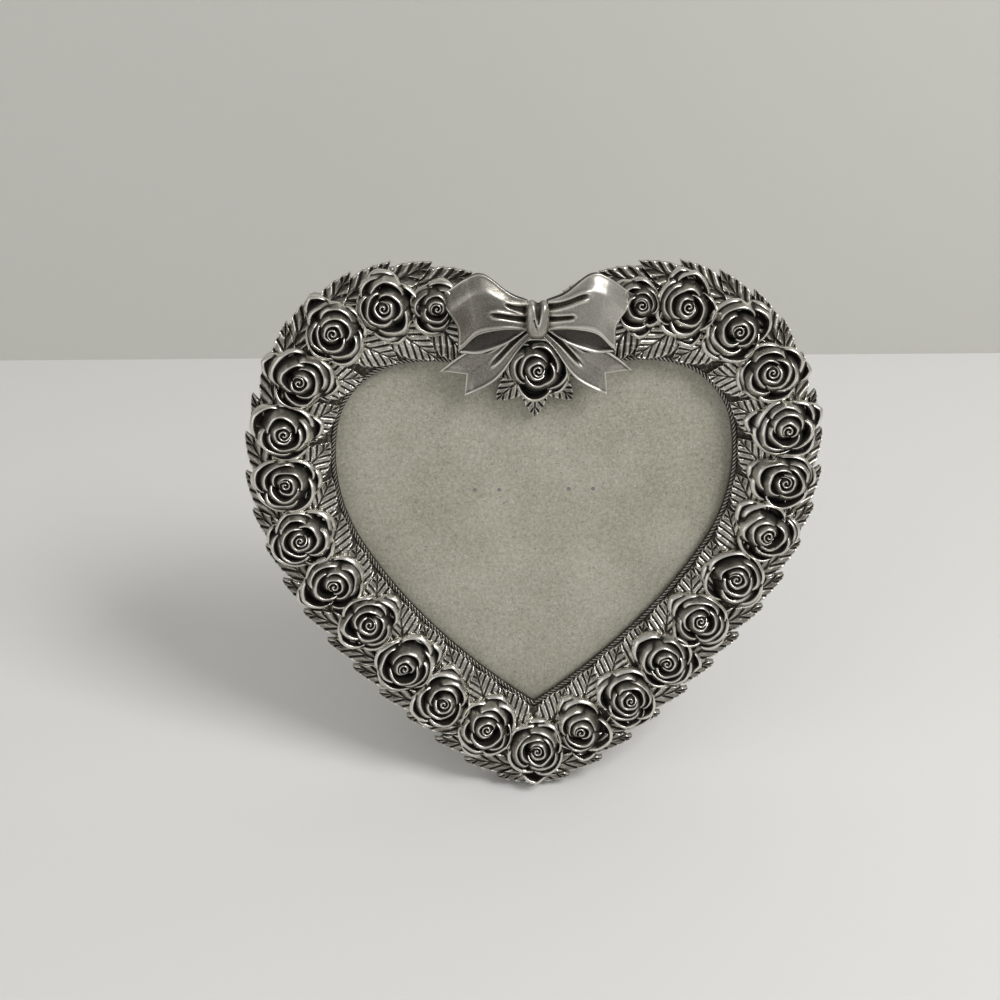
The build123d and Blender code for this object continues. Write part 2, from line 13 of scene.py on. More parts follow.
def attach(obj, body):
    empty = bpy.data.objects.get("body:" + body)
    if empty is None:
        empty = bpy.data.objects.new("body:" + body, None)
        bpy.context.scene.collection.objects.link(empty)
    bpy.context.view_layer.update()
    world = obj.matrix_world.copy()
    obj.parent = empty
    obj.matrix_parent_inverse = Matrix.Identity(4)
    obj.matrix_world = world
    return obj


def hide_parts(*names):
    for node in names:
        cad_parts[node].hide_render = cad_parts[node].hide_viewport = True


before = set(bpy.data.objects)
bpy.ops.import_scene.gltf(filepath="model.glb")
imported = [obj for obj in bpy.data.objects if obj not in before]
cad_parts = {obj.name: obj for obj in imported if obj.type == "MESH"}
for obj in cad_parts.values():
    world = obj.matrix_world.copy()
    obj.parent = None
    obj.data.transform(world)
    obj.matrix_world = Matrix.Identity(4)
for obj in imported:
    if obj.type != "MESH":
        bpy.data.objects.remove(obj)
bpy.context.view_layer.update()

# A heart shaped pewter photo frame on an easel leg. Pieces are modelled in millimetres on the
# leaning plane of the casting: u to the viewer's right, v up the frame from the casting's bottom
# point, and w out of the front. One matrix then puts them in the frame's metres.

METRES_PER_MM = 0.001
WELD_MM = 0.002
FLAT_DEGREES = 0.5
FULL_TURN = 2 * math.pi

# Each worn mesh has an attribute for how rubbed a point is, and some have one for how little of
# that reaches it. Relief is read against the mesh smoothed a few times and many times.
WEAR = "wear"
HOLLOW = "hollow"
SIDE_WEAR = 0.45
FINE_TURNS = 6
BROAD_TURNS = 40

Shape = bmesh.types.BMesh
Verts = list[bmesh.types.BMVert]
Material = bpy.types.Material
Tree = bpy.types.NodeTree
Node = bpy.types.Node
Wear = tuple[float, float, float]

logging.basicConfig(level=logging.INFO, format="%(message)s")
log = logging.getLogger("heart_frame")


def linear(colour: str) -> tuple[float, ...]:
    """Turn an sRGB hex colour into a linear one.

    Args:
        colour: Six hex digits after a hash sign.

    Returns:
        Linear red, green and blue, and an alpha of 1.
    """
    parts = (int(colour[place:place + 2], 16) / 255 for place in (1, 3, 5))
    return (*(
        part / 12.92 if part <= 0.04045 else ((part + 0.055) / 1.055) ** 2.4 for part in parts
    ), 1.0)


def per_mm(size: float) -> float:
    """Give the texture scale, in repeats per metre, of a pattern with this size in millimetres."""
    return 1 / (size * METRES_PER_MM)


def add_node(tree: Tree, kind: str, sockets: dict, **settings: str | bool | list) -> Node:
    """Add a shader node with its settings, and fill or link its inputs.

    Args:
        tree: The node tree that gets the node.
        kind: The node's type without its prefix, such as Mix.
        sockets: For each input by name or place, its value, or the output or node that feeds it.
            A node feeds it from the first output in use.
        settings: Values for the node's own properties. The stops of a colour ramp are places
            along it with their sRGB hex colours.

    Returns:
        The new node.
    """
    node = tree.nodes.new("ShaderNode" + kind)
    stops = settings.pop("stops", [])
    for name, value in settings.items():
        setattr(node, name, value)
    for index, (place, colour) in enumerate(stops):
        elements = node.color_ramp.elements
        element = elements[index] if index < len(elements) else elements.new(1.0)
        element.position = place
        element.color = linear(colour)
    used = [socket for socket in node.inputs if socket.enabled]
    for name, value in sockets.items():
        socket = next(item for place, item in enumerate(used) if name in (place, item.name))
        if isinstance(value, Node):
            value = next(output for output in value.outputs if output.enabled)
        if isinstance(value, bpy.types.NodeSocket):
            tree.links.new(value, socket)
        else:
            socket.default_value = value
    return node


@dataclass(frozen=True)
class Finish:
    """A finish, named for the real material and how its surface was made."""

    name: str

    def shader(self, tree: Tree) -> Node:
        """Build the shader in the material's node tree. Each finish has its own."""
        raise NotImplementedError(self.name)

    def material(self) -> Material:
        """Build the material.

        Returns:
            The material, with the finish's shader and its output as its only nodes.
        """
        material = bpy.data.materials.new(self.name)
        material.use_nodes = True
        tree = material.node_tree
        tree.nodes.clear()
        add_node(tree, "OutputMaterial", {"Surface": self.shader(tree)})
        return material


@dataclass(frozen=True)
class CastPewter(Finish):
    """Pewter cast in a rubber mould, blackened, and buffed so that only the high places shine.

    The eye sees near-black hollows, brown-grey flanks and pale, soft-edged highlights on every rim.
    """

    hollow: str = "#15120f"
    flank: str = "#4a453e"
    metal: str = "#a7a39b"
    rim: str = "#dedbd3"
    rough_hollow: float = 0.62
    rough_rim: float = 0.27
    metallic_hollow: float = 0.35
    worn: float = 0.0
    mottle: float = 0.07
    staining: float = 0.06
    cast_grain_mm: float = 0.35
    stain_mm: float = 9.0
    grain_depth_mm: float = 0.02

    def shader(self, tree: Tree) -> Node:
        """Build the shader, which reads each mesh's wear attribute.

        Args:
            tree: The material's node tree.

        Returns:
            The shader.
        """
        wear = add_node(tree, "Attribute", {}, attribute_type="GEOMETRY", attribute_name=WEAR)
        point = add_node(tree, "TexCoord", {}).outputs["Object"]
        grain, stain = (
            add_node(tree, "TexNoise", {"Vector": point, "Scale": per_mm(size), "Detail": detail,
                                        "Roughness": rough})
            for size, detail, rough in ((self.cast_grain_mm, 4.0, 0.6), (self.stain_mm, 3.0, 0.55))
        )
        spread, drift = (
            add_node(tree, "MapRange", {"Value": noise, "From Min": 0.3, "From Max": 0.7,
                                        "To Min": middle - reach, "To Max": middle + reach})
            for noise, middle, reach in ((grain, 0.0, self.mottle),
                                         (stain, self.worn, self.staining))
        )
        uneven = add_node(tree, "Math", {0: spread, 1: drift}, operation="ADD")
        rubbed = add_node(tree, "Math", {0: wear.outputs["Fac"], 1: uneven}, operation="ADD",
                          use_clamp=True)
        colour = add_node(tree, "ValToRGB", {"Fac": rubbed}, stops=[
            (0.0, self.hollow), (0.36, self.flank), (0.62, self.metal), (0.92, self.rim)])
        rough, metallic = (
            add_node(tree, "MapRange", {"Value": rubbed, "From Min": start, "From Max": end,
                                        "To Min": low, "To Max": high},
                     interpolation_type="SMOOTHSTEP")
            for start, end, low, high in ((0.15, 0.8, self.rough_hollow, self.rough_rim),
                                          (0.05, 0.45, self.metallic_hollow, 1.0))
        )
        bump = add_node(tree, "Bump", {"Height": grain, "Strength": 0.5,
                                       "Distance": self.grain_depth_mm * METRES_PER_MM})
        return add_node(tree, "BsdfPrincipled", {
            "Base Color": colour, "Metallic": metallic, "Roughness": rough, "Normal": bump})


@dataclass(frozen=True)
class Greyboard(Finish):
    """Grey chipboard pressed from pulped paper.

    The eye sees a dull warm grey-green with dark and pale flecks under a millimetre long.
    """

    name: str = "pressed_greyboard"
    ground_dark: str = "#918d7b"
    ground_light: str = "#bcb8a9"
    dark_fleck: str = "#625d50"
    pale_fleck: str = "#d8d6ca"
    cloud_mm: float = 16.0
    pulp_mm: float = 0.8
    fleck_mm: float = 0.42
    pulp_depth_mm: float = 0.03

    def shader(self, tree: Tree) -> Node:
        """Build the shader: clouded ground, with flecks where a fine noise is low or high.

        Args:
            tree: The material's node tree.

        Returns:
            The shader.
        """
        point = add_node(tree, "TexCoord", {}).outputs["Object"]
        cloud, pulp, flecks = (
            add_node(tree, "TexNoise", {"Vector": point, "Scale": per_mm(size), "Detail": detail,
                                        "Roughness": rough})
            for size, detail, rough in ((self.cloud_mm, 3.0, 0.5), (self.pulp_mm, 5.0, 0.75),
                                        (self.fleck_mm, 1.0, 0.4))
        )
        both = add_node(tree, "Mix", {"Factor": 0.7, "A": cloud, "B": pulp}, data_type="FLOAT")
        colour = add_node(tree, "ValToRGB", {"Fac": both},
                          stops=[(0.35, self.ground_dark), (0.65, self.ground_light)])
        for fleck, start, end, strength in ((self.dark_fleck, 0.36, 0.28, 0.55),
                                            (self.pale_fleck, 0.64, 0.74, 0.5)):
            share = add_node(tree, "MapRange", {"Value": flecks, "From Min": start, "From Max": end,
                                                "To Min": 0.0, "To Max": strength})
            colour = add_node(tree, "Mix", {"Factor": share, "A": colour, "B": linear(fleck)},
                              data_type="RGBA")
        bump = add_node(tree, "Bump", {"Height": pulp, "Strength": 0.4,
                                       "Distance": self.pulp_depth_mm * METRES_PER_MM})
        return add_node(tree, "BsdfPrincipled", {
            "Base Color": colour, "Roughness": 0.92, "Normal": bump})


@dataclass(frozen=True)
class FloatGlass(Finish):
    """Thin picture glass, floated and cut.

    The eye sees through it, and it gives a faint sheen where it mirrors the room.
    """

    name: str = "float_glass"
    tint: str = "#fefefe"
    refraction: float = 1.5

    def shader(self, tree: Tree) -> Node:
        """Build a clear layer, with a gloss on its front that grows at grazing angles.

        Args:
            tree: The material's node tree.

        Returns:
            The shader.
        """
        clear = add_node(tree, "BsdfTransparent", {"Color": linear(self.tint)})
        gloss = add_node(tree, "BsdfGlossy", {"Color": linear("#ffffff"), "Roughness": 0.03})
        edge = add_node(tree, "Fresnel", {"IOR": self.refraction})
        behind = add_node(tree, "NewGeometry", {}).outputs["Backfacing"]
        front = add_node(tree, "Math", {0: 1.0, 1: behind}, operation="SUBTRACT")
        share = add_node(tree, "Math", {0: edge, 1: front}, operation="MULTIPLY")
        return add_node(tree, "MixShader", {0: share, 1: clear, 2: gloss})


@dataclass(frozen=True)
class CottonVelvet(Finish):
    """Black cotton velvet glued to card.

    The eye sees a deep matt black whose short pile catches a soft grey sheen at the edges.
    """

    name: str = "cotton_velvet"
    pile_dark: str = "#0e0d10"
    pile_light: str = "#353238"
    nap_mm: float = 6.0
    pile_mm: float = 0.45
    pile_depth_mm: float = 0.12

    def shader(self, tree: Tree) -> Node:
        """Build the shader: a brushed nap over the fine pile, with a sheen.

        Args:
            tree: The material's node tree.

        Returns:
            The shader.
        """
        point = add_node(tree, "TexCoord", {}).outputs["Object"]
        nap, pile = (
            add_node(tree, "TexNoise", {"Vector": point, "Scale": per_mm(size), "Detail": detail,
                                        "Roughness": rough})
            for size, detail, rough in ((self.nap_mm, 2.0, 0.5), (self.pile_mm, 3.0, 0.7))
        )
        both = add_node(tree, "Mix", {"Factor": 0.5, "A": nap, "B": pile}, data_type="FLOAT")
        colour = add_node(tree, "ValToRGB", {"Fac": both},
                          stops=[(0.35, self.pile_dark), (0.68, self.pile_light)])
        bump = add_node(tree, "Bump", {"Height": pile, "Strength": 0.6,
                                       "Distance": self.pile_depth_mm * METRES_PER_MM})
        return add_node(tree, "BsdfPrincipled", {
            "Base Color": colour, "Roughness": 0.95, "Sheen Weight": 1.0, "Sheen Roughness": 0.35,
            "Normal": bump})


@dataclass(frozen=True)
class PlatedSteel(Finish):
    """Pressed sheet steel with a thin bright plating.

    The eye sees a cool, even metal with fine rolling lines and a few dull patches.
    """

    base: str
    rough: float
    rough_spread: tuple = (-0.03, 0.05)
    line_mm: float = 0.25
    line_length: float = 0.06
    line_depth_mm: float = 0.004

    def shader(self, tree: Tree) -> Node:
        """Build the shader, whose lines are stretched along X.

        Args:
            tree: The material's node tree.

        Returns:
            The shader.
        """
        place = add_node(tree, "TexCoord", {}).outputs["Object"]
        point = add_node(tree, "Mapping", {"Vector": place, "Scale": (self.line_length, 1, 1)})
        lines = add_node(tree, "TexNoise", {"Vector": point, "Scale": per_mm(self.line_mm),
                                            "Detail": 3.0, "Roughness": 0.6})
        low, high = (self.rough + spread for spread in self.rough_spread)
        rough = add_node(tree, "MapRange", {"Value": lines, "From Min": 0.3, "From Max": 0.7,
                                            "To Min": low, "To Max": high})
        bump = add_node(tree, "Bump", {"Height": lines, "Strength": 0.1,
                                       "Distance": self.line_depth_mm * METRES_PER_MM})
        return add_node(tree, "BsdfPrincipled", {
            "Base Color": linear(self.base), "Metallic": 1.0, "Roughness": rough, "Normal": bump})


@dataclass(frozen=True)
class StagePaint(Finish):
    """Matt paint on the floor and the wall, which views from behind see through."""

    colour: str

    def shader(self, tree: Tree) -> Node:
        """Build the shader: matt on the front, and nothing on the back.

        Args:
            tree: The material's node tree.

        Returns:
            The shader.
        """
        matt = add_node(tree, "BsdfPrincipled", {"Base Color": linear(self.colour),
                                                 "Roughness": 0.95})
        clear = add_node(tree, "BsdfTransparent", {})
        behind = add_node(tree, "NewGeometry", {}).outputs["Backfacing"]
        return add_node(tree, "MixShader", {0: behind, 1: matt, 2: clear})


def turned(heading: np.ndarray, angle: float) -> np.ndarray:
    """Turn a direction in the casting's plane.

    Args:
        heading: The direction.
        angle: The turn in radians, counterclockwise.

    Returns:
        The turned direction.
    """
    cosine, sine = math.cos(angle), math.sin(angle)
    across, up = heading
    return np.array([across * cosine - up * sine, across * sine + up * cosine])


def tangent_arcs(points: np.ndarray, heading: np.ndarray, step: float) -> np.ndarray:
    """Sample the chain of tangent arcs that starts along a heading and meets each point.

    Args:
        points: The places that the arcs join.
        heading: The unit direction of the first arc's start.
        step: The sampling distance.

    Returns:
        Places along the chain.
    """
    samples = [points[0]]
    for start, end in zip(points, points[1:]):
        chord = end - start
        length = float(np.hypot(*chord))
        cross = heading[0] * chord[1] - heading[1] * chord[0]
        half_turn = math.atan2(cross, float(heading @ chord))
        count = max(2, int(length / step))
        for index in range(1, count + 1):
            part = half_turn * index / count
            reach = length * math.sin(part) / math.sin(half_turn)
            samples.append(start + turned(heading, part) * reach)
        heading = turned(heading, 2 * half_turn)
    return np.array(samples)


def arc_lengths(line: np.ndarray) -> np.ndarray:
    """Give how far along a line each of its points lies."""
    return np.concatenate([[0], np.cumsum(np.hypot(*np.diff(line, axis=0).T))])


def follow(
    line: np.ndarray, shares: np.ndarray, reach: float, closed: bool = False
) -> tuple[np.ndarray, np.ndarray]:
    """Give places along a line, and the unit headings there.

    Args:
        line: The line's points.
        shares: How far along the line the places are, from 0 to 1.
        reach: How far ahead and behind the heading is taken from.
        closed: Whether the line's end is its start.

    Returns:
        The places and the headings.
    """
    lengths = arc_lengths(line)
    target = np.asarray(shares) * lengths[-1]
    ends = [target, target + reach, target - reach]
    for place in (1, 2):
        ends[place] = ends[place] % lengths[-1] if closed else np.clip(ends[place], 0, lengths[-1])
    spots, ahead, behind = (
        np.stack([np.interp(end, lengths, line[:, axis]) for axis in (0, 1)], axis=-1)
        for end in ends
    )
    heading = ahead - behind
    return spots, heading / np.hypot(heading[..., 0], heading[..., 1])[..., None]


def smooth_curve(points: np.ndarray, shares: np.ndarray) -> np.ndarray:
    """Run a smooth curve through points.

    Args:
        points: The places that the curve meets.
        shares: Places along the curve from 0 to 1.

    Returns:
        The curve's points at those shares.
    """
    padded = np.vstack([2 * points[0] - points[1], points, 2 * points[-1] - points[-2]])
    lengths = arc_lengths(points)
    along = np.asarray(shares) * lengths[-1]
    index = np.clip(np.searchsorted(lengths, along, side="right") - 1, 0, len(points) - 2)
    part = ((along - lengths[index]) / (lengths[index + 1] - lengths[index]))[:, None]
    before, start, end, after = (padded[index + offset] for offset in range(4))
    return 0.5 * (
        2 * start + (end - before) * part + (2 * before - 5 * start + 4 * end - after) * part**2
        + (3 * start - before - 3 * end + after) * part**3
    )


def ramp(values: np.ndarray, low: float, high: float) -> np.ndarray:
    """Rise smoothly from 0 where the values are low to 1 where they are high."""
    part = np.clip((values - low) / (high - low), 0, 1)
    return part * part * (3 - 2 * part)


def between(first: np.ndarray, second: np.ndarray, share: np.ndarray) -> np.ndarray:
    """Give the rows that lie a share of the way from the first ones to the second ones."""
    return first * (1 - share)[:, None] + second * share[:, None]


@dataclass(frozen=True)
class HeartLine:
    """The right half of a heart outline, in millimetres, as a chain of tangent arcs.

    Its points are shares of half its width and of its height, and its foot is its lowest point.
    """

    width: float
    height: float
    foot: float
    start_angle: float
    shares: tuple
    step: float = 0.4

    def points(self) -> np.ndarray:
        """Give places along the half outline from the bottom point to the cleft."""
        corners = np.array(self.shares) * (self.width / 2, self.height) + (0, self.foot)
        return tangent_arcs(corners, turned((1, 0), math.radians(self.start_angle)), self.step)

    def inside(self, spots: np.ndarray) -> np.ndarray:
        """Give how far inside the whole heart each place lies.

        Args:
            spots: Places in the casting's plane.

        Returns:
            Distances to the outline, negative outside it.
        """
        line = self.points()
        # The nearest span gives the distance, and the side of it that a place is on the sign.
        starts, spans = line[:-1], np.diff(line, axis=0)
        mirrored = np.stack([np.abs(spots[:, 0]), spots[:, 1]], axis=1)
        reach = mirrored[:, None, :] - starts[None, :, :]
        share = np.clip((reach * spans).sum(2) / (spans * spans).sum(1), 0, 1)
        off = reach - share[:, :, None] * spans
        distance = np.hypot(off[:, :, 0], off[:, :, 1])
        nearest = distance.argmin(1)
        rows = np.arange(len(spots))
        span, way = spans[nearest], reach[rows, nearest]
        side = np.sign(span[:, 0] * way[:, 1] - span[:, 1] * way[:, 0])
        return distance[rows, nearest] * side


@dataclass(frozen=True)
class Casting:
    """The sizes of the casting that its trim follows, in millimetres and degrees."""

    outline: HeartLine = HeartLine(128.8, 124.6, 0.0, 13.0, (
        (0.0, 0.0), (0.293, 0.074), (0.758, 0.319), (0.967, 0.532), (0.868, 0.876), (0.425, 1.0),
        (0.0, 0.896),
    ))
    window: HeartLine = HeartLine(89.8, 82.0, 21.0, 34.0, (
        (0.0, 0.0), (0.561, 0.261), (0.875, 0.487), (0.989, 0.813), (0.657, 0.995), (0.0, 0.883),
    ))
    lean: float = 15.0
    ring_depth: float = 5.1
    tip_flat: float = 0.3
    bed_rise: float = 2.2
    outer_slope: float = 4.2
    inner_slope: float = 4.4

    def matrix(self) -> Matrix:
        """Work out how the casting leans back on the flat at its bottom point.

        Returns:
            The matrix from the leaning plane's millimetres to the frame's metres.
        """
        angle = math.radians(self.lean)
        back = self.ring_depth * math.cos(angle) + self.tip_flat * math.tan(angle)
        front = (self.ring_depth - self.tip_flat / math.sin(angle)) * math.cos(angle)
        foot = self.ring_depth * math.sin(angle) - self.tip_flat
        turn = Matrix.Rotation(math.pi / 2 - angle, 4, "X")
        placed = Matrix.Translation(Vector((0, -(back + front) / 2, foot))) @ turn
        return Matrix.Scale(METRES_PER_MM, 4) @ placed

    def front(self) -> Vector:
        """Give the unit direction out of the casting's front, in the frame."""
        return (self.matrix().to_3x3() @ Vector((0, 0, 1))).normalized()

    def bed(self, spots: np.ndarray) -> np.ndarray:
        """Give the level of the casting's front under places in its plane.

        Args:
            spots: Places in the plane.

        Returns:
            The levels, which keep falling past the outer edge.
        """
        from_outline = self.outline.inside(spots) / self.outer_slope
        from_window = -self.window.inside(spots) / self.inner_slope
        return self.bed_rise * np.minimum(np.minimum(from_outline, from_window), 1)

    def footprint(self, node: str) -> tuple[np.ndarray, float]:
        """Give the place of a node in the leaning plane.

        Args:
            node: The node's name.

        Returns:
            The middle of its box and half the mean of the box's sides.
        """
        back = self.matrix().inverted()
        spots = np.array([(back @ vertex.co)[:2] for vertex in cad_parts[node].data.vertices])
        low, high = spots.min(0), spots.max(0)
        return (high + low) / 2, (high - low).mean() / 2


def numbers(
    items: bpy.types.bpy_prop_collection, name: str, width: int, kind: type = float
) -> np.ndarray:
    """Read a property of every item of a collection.

    Args:
        items: A mesh's points, edges or values.
        name: The property's name.
        width: How many numbers it has.
        kind: The type of the numbers.

    Returns:
        One row for each item.
    """
    values = np.empty(len(items) * width, kind)
    items.foreach_get(name, values)
    return values.reshape(-1, width)


def store(name: str, mesh: bpy.types.Mesh, values: np.ndarray) -> None:
    """Keep one number for each point of a mesh, as an attribute of this name."""
    attribute = mesh.attributes.new(name, "FLOAT", "POINT")
    attribute.data.foreach_set("value", values.astype(np.float32))


def mark_wear(
    mesh: bpy.types.Mesh, out: Vector, fine_mm: float, broad_mm: float, lift: float
) -> None:
    """Work out where blackening stays and where buffing takes it off.

    A point that stands proud of the surface smoothed over its neighbours is rubbed bright, and
    one that lies below it, or on a side that the buffing wheel hardly reaches, stays dark.

    Args:
        mesh: A finished mesh in metres.
        out: The unit direction out of the casting's front.
        fine_mm: The relief over a few edges that turns from dark to bright.
        broad_mm: The relief over many edges that does the same.
        lift: The wear of a place that is neither proud nor hollow. Some pieces set it lower as
            painted shade, and some higher as painted light.
    """
    count = len(mesh.vertices)
    places = numbers(mesh.vertices, "co", 3) / METRES_PER_MM
    normals = numbers(mesh.vertex_normals, "vector", 3)
    first, second = numbers(mesh.edges, "vertices", 2, int).T
    degree = np.bincount(first, minlength=count) + np.bincount(second, minlength=count)
    degree = np.maximum(degree, 1)
    # Each turn moves every point halfway to the mean of its neighbours.
    smooth = places.copy()
    relief = {}
    for turn in range(1, BROAD_TURNS + 1):
        total = [
            np.bincount(first, weights=smooth[second, axis], minlength=count)
            + np.bincount(second, weights=smooth[first, axis], minlength=count)
            for axis in range(3)
        ]
        smooth = 0.5 * smooth + 0.5 * np.stack(total, axis=1) / degree[:, None]
        if turn in (FINE_TURNS, BROAD_TURNS):
            relief[turn] = ((places - smooth) * normals).sum(1)
    wear = lift + 0.5 * relief[FINE_TURNS] / fine_mm + 0.5 * relief[BROAD_TURNS] / broad_mm
    faced = ramp(normals @ np.array(out), -0.15, 0.4)
    wear = np.clip(wear, 0, 1) * (SIDE_WEAR + (1 - SIDE_WEAR) * faced)
    if HOLLOW in mesh.attributes:
        wear = wear * (1 - numbers(mesh.attributes[HOLLOW].data, "value", 1, np.float32)[:, 0])
    store(WEAR, mesh, np.clip(wear, 0, 1))


def put(name: str, content: bpy.types.ID) -> bpy.types.Object:
    """Put something into the scene.

    Args:
        name: The name of the object that holds it.
        content: A mesh, lamp or camera.

    Returns:
        The object.
    """
    made = bpy.data.objects.new(name, content)
    bpy.context.scene.collection.objects.link(made)
    return made


def put_shape(name: str, shape: Shape, material: Material) -> bpy.types.Object:
    """Turn a finished shape into an object.

    Args:
        name: The object's name.
        shape: The shape, which is freed.
        material: What it is made of.

    Returns:
        The object.
    """
    mesh = bpy.data.meshes.new(name)
    shape.to_mesh(mesh)
    shape.free()
    mesh.materials.append(material)
    return put(name, mesh)


@dataclass(frozen=True)
class Coat:
    """A finish in use: its material, the record's slot for it, which is not used, and the rounding
    of its edges.
    """

    material: Material
    slot: str
    rounding: float = 0.0


@dataclass
class Trim:
    """Turns bmeshes on the leaning plane into finished pieces of the object."""

    casting: Casting

    def piece(
        self, name: str, shape: Shape, coat: Coat, node: str, body: str = "frame",
        wear: Wear | None = None,
    ) -> bpy.types.Object:
        """Put a shape in its place and let it stand for its node.

        Args:
            name: The new object's name.
            shape: A closed shape in the leaning plane's millimetres.
            coat: Its finish.
            node: The node that it stands for.
            body: The body that it rides on.
            wear: The fine relief, broad relief and lift of its wear, if it is worn.

        Returns:
            The new object.
        """
        bmesh.ops.transform(shape, matrix=self.casting.matrix(), verts=shape.verts)
        bmesh.ops.recalc_face_normals(shape, faces=shape.faces)
        if shape.calc_volume(signed=True) < 0:
            bmesh.ops.reverse_faces(shape, faces=shape.faces)
        made = put_shape(name, shape, coat.material)
        made.data.shade_smooth()
        if wear:
            mark_wear(made.data, self.casting.front(), *wear)
        else:
            made.modifiers.new("flat_faces", "WEIGHTED_NORMAL")
        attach(made, body)
        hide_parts(node)
        log.info("%s: %d faces, for %s", name, len(made.data.polygons), node)
        return made


def coordinates(verts: Verts) -> np.ndarray:
    """Give the places of some vertices as rows."""
    return np.array([vert.co[:] for vert in verts])


def move(verts: Verts, places: np.ndarray) -> None:
    """Put vertices at new places."""
    for vert, place in zip(verts, places):
        vert.co = place


def add_grid(shape: Shape, columns: int, rows: int) -> tuple[Verts, np.ndarray, np.ndarray]:
    """Add a flat grid to a shape.

    Args:
        shape: The shape that gets the grid.
        columns: How many faces it has along its first side.
        rows: How many it has along its second side.

    Returns:
        Its vertices, and how far along the first and the second side each is, from 0 to 1.
    """
    verts = bmesh.ops.create_grid(shape, x_segments=columns, y_segments=rows, size=1)["verts"]
    along, across = (coordinates(verts)[:, :2].T + 1) / 2
    return verts, along, across


def mark_hollow(shape: Shape, verts: Verts, shares: np.ndarray) -> None:
    """Say how much of the wear each vertex is kept from.

    Args:
        shape: The shape that the vertices belong to.
        verts: The vertices.
        shares: 0 where the buffing reaches, and up to 1 where it doesn't.
    """
    layer = shape.verts.layers.float[HOLLOW]
    for vert, share in zip(verts, shares):
        vert[layer] = share


def hollowed() -> Shape:
    """Start a shape whose vertices can be kept from wear.

    Returns:
        The empty shape, with a layer for that.
    """
    shape = bmesh.new()
    shape.verts.layers.float.new(HOLLOW)
    return shape


def merged_node(node: str, casting: Casting) -> Shape:
    """Copy a node's shape and join its facets.

    Args:
        node: The node's name.
        casting: The casting on whose plane the copy is laid.

    Returns:
        The copy in the leaning plane's millimetres.
    """
    shape = bmesh.new()
    shape.from_mesh(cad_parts[node].data)
    bmesh.ops.transform(shape, matrix=casting.matrix().inverted(), verts=shape.verts)
    bmesh.ops.remove_doubles(shape, verts=shape.verts, dist=WELD_MM)
    bmesh.ops.dissolve_limit(shape, angle_limit=math.radians(FLAT_DEGREES), verts=shape.verts,
                             edges=shape.edges)
    return shape


def round_edges(shape: Shape, rounding: float, sharp_angle: float) -> None:
    """Round a shape's sharp edges.

    Args:
        shape: The shape.
        rounding: The width of the rounding.
        sharp_angle: The angle in degrees past which an edge is sharp.
    """
    sharp = math.radians(sharp_angle)
    edges = [edge for edge in shape.edges if edge.is_manifold and edge.calc_face_angle(0) > sharp]
    bmesh.ops.bevel(shape, geom=edges, offset=rounding, segments=2, profile=0.5, affect="EDGES",
                    clamp_overlap=True, material=-1)


@dataclass(frozen=True)
class Petal:
    """One cast petal: the line of its rim round the rose and how its faces fall away from it."""

    reach: float
    top: float
    middle: float
    half_span: float
    spiral: float
    corner: float
    fall: float
    tuck: float = 0.2
    sag: float = 1.3
    end_fall: float = 4.0

    def rim(self, angle: np.ndarray) -> tuple[np.ndarray, np.ndarray, np.ndarray]:
        """Give the rim line.

        Args:
            angle: Angles round the rose.

        Returns:
            How far past the petal's ends each angle lies, and the rim's radius and level there.
        """
        off = ((angle - self.middle + math.pi) % FULL_TURN - math.pi) / self.half_span
        share = np.minimum(np.abs(off), 1)
        radius = self.reach * (
            1 + self.spiral * np.clip(off, -1, 1) - self.tuck * share**2.6
            + self.corner * (1 - share)**1.5
        )
        past = np.maximum(np.abs(off) - 1, 0) * self.half_span * self.reach
        return past, radius, self.top - self.sag * share**3 - self.end_fall * past


@dataclass(frozen=True)
class Tier:
    """A round of petals: the ranges of their sizes, and how far they stray from an even spacing."""

    reach: tuple
    top: tuple
    half_span: tuple
    spiral: float
    fall: float
    corner: tuple = (0.0, 0.0)
    stray: float = 0.0

    def petal(self, chance: random.Random, scale: float, middle: float, corner: float) -> Petal:
        """Draw a petal.

        Args:
            chance: Where the sizes are drawn from.
            scale: The size of the rose.
            middle: The angle of the petal's middle.
            corner: How far its middle is drawn out to a point.

        Returns:
            The petal.
        """
        spans = (self.reach, self.top, self.half_span)
        reach, top, half_span = (chance.uniform(*span) for span in spans)
        return Petal(reach * scale, top, middle, half_span, self.spiral, corner, self.fall)

    def petals(
        self, chance: random.Random, scale: float, start: float, count: int, places: int,
        pointed: bool | None,
    ) -> list[Petal]:
        """Draw the petals.

        Args:
            chance: Where the sizes are drawn from.
            scale: The size of the rose.
            start: The angle of the first petal's middle.
            count: How many petals there are.
            places: How many there is room for in a full turn.
            pointed: Whether the petals are drawn out to a point, or None if half of them are.

        Returns:
            The petals.
        """
        made = []
        for index in range(count):
            middle = start + index * FULL_TURN / places + chance.uniform(-self.stray, self.stray)
            drawn_out = chance.random() < 0.5 if pointed is None else pointed
            corner = chance.uniform(*self.corner) if drawn_out else 0.0
            made.append(self.petal(chance, scale, middle, corner))
        return made


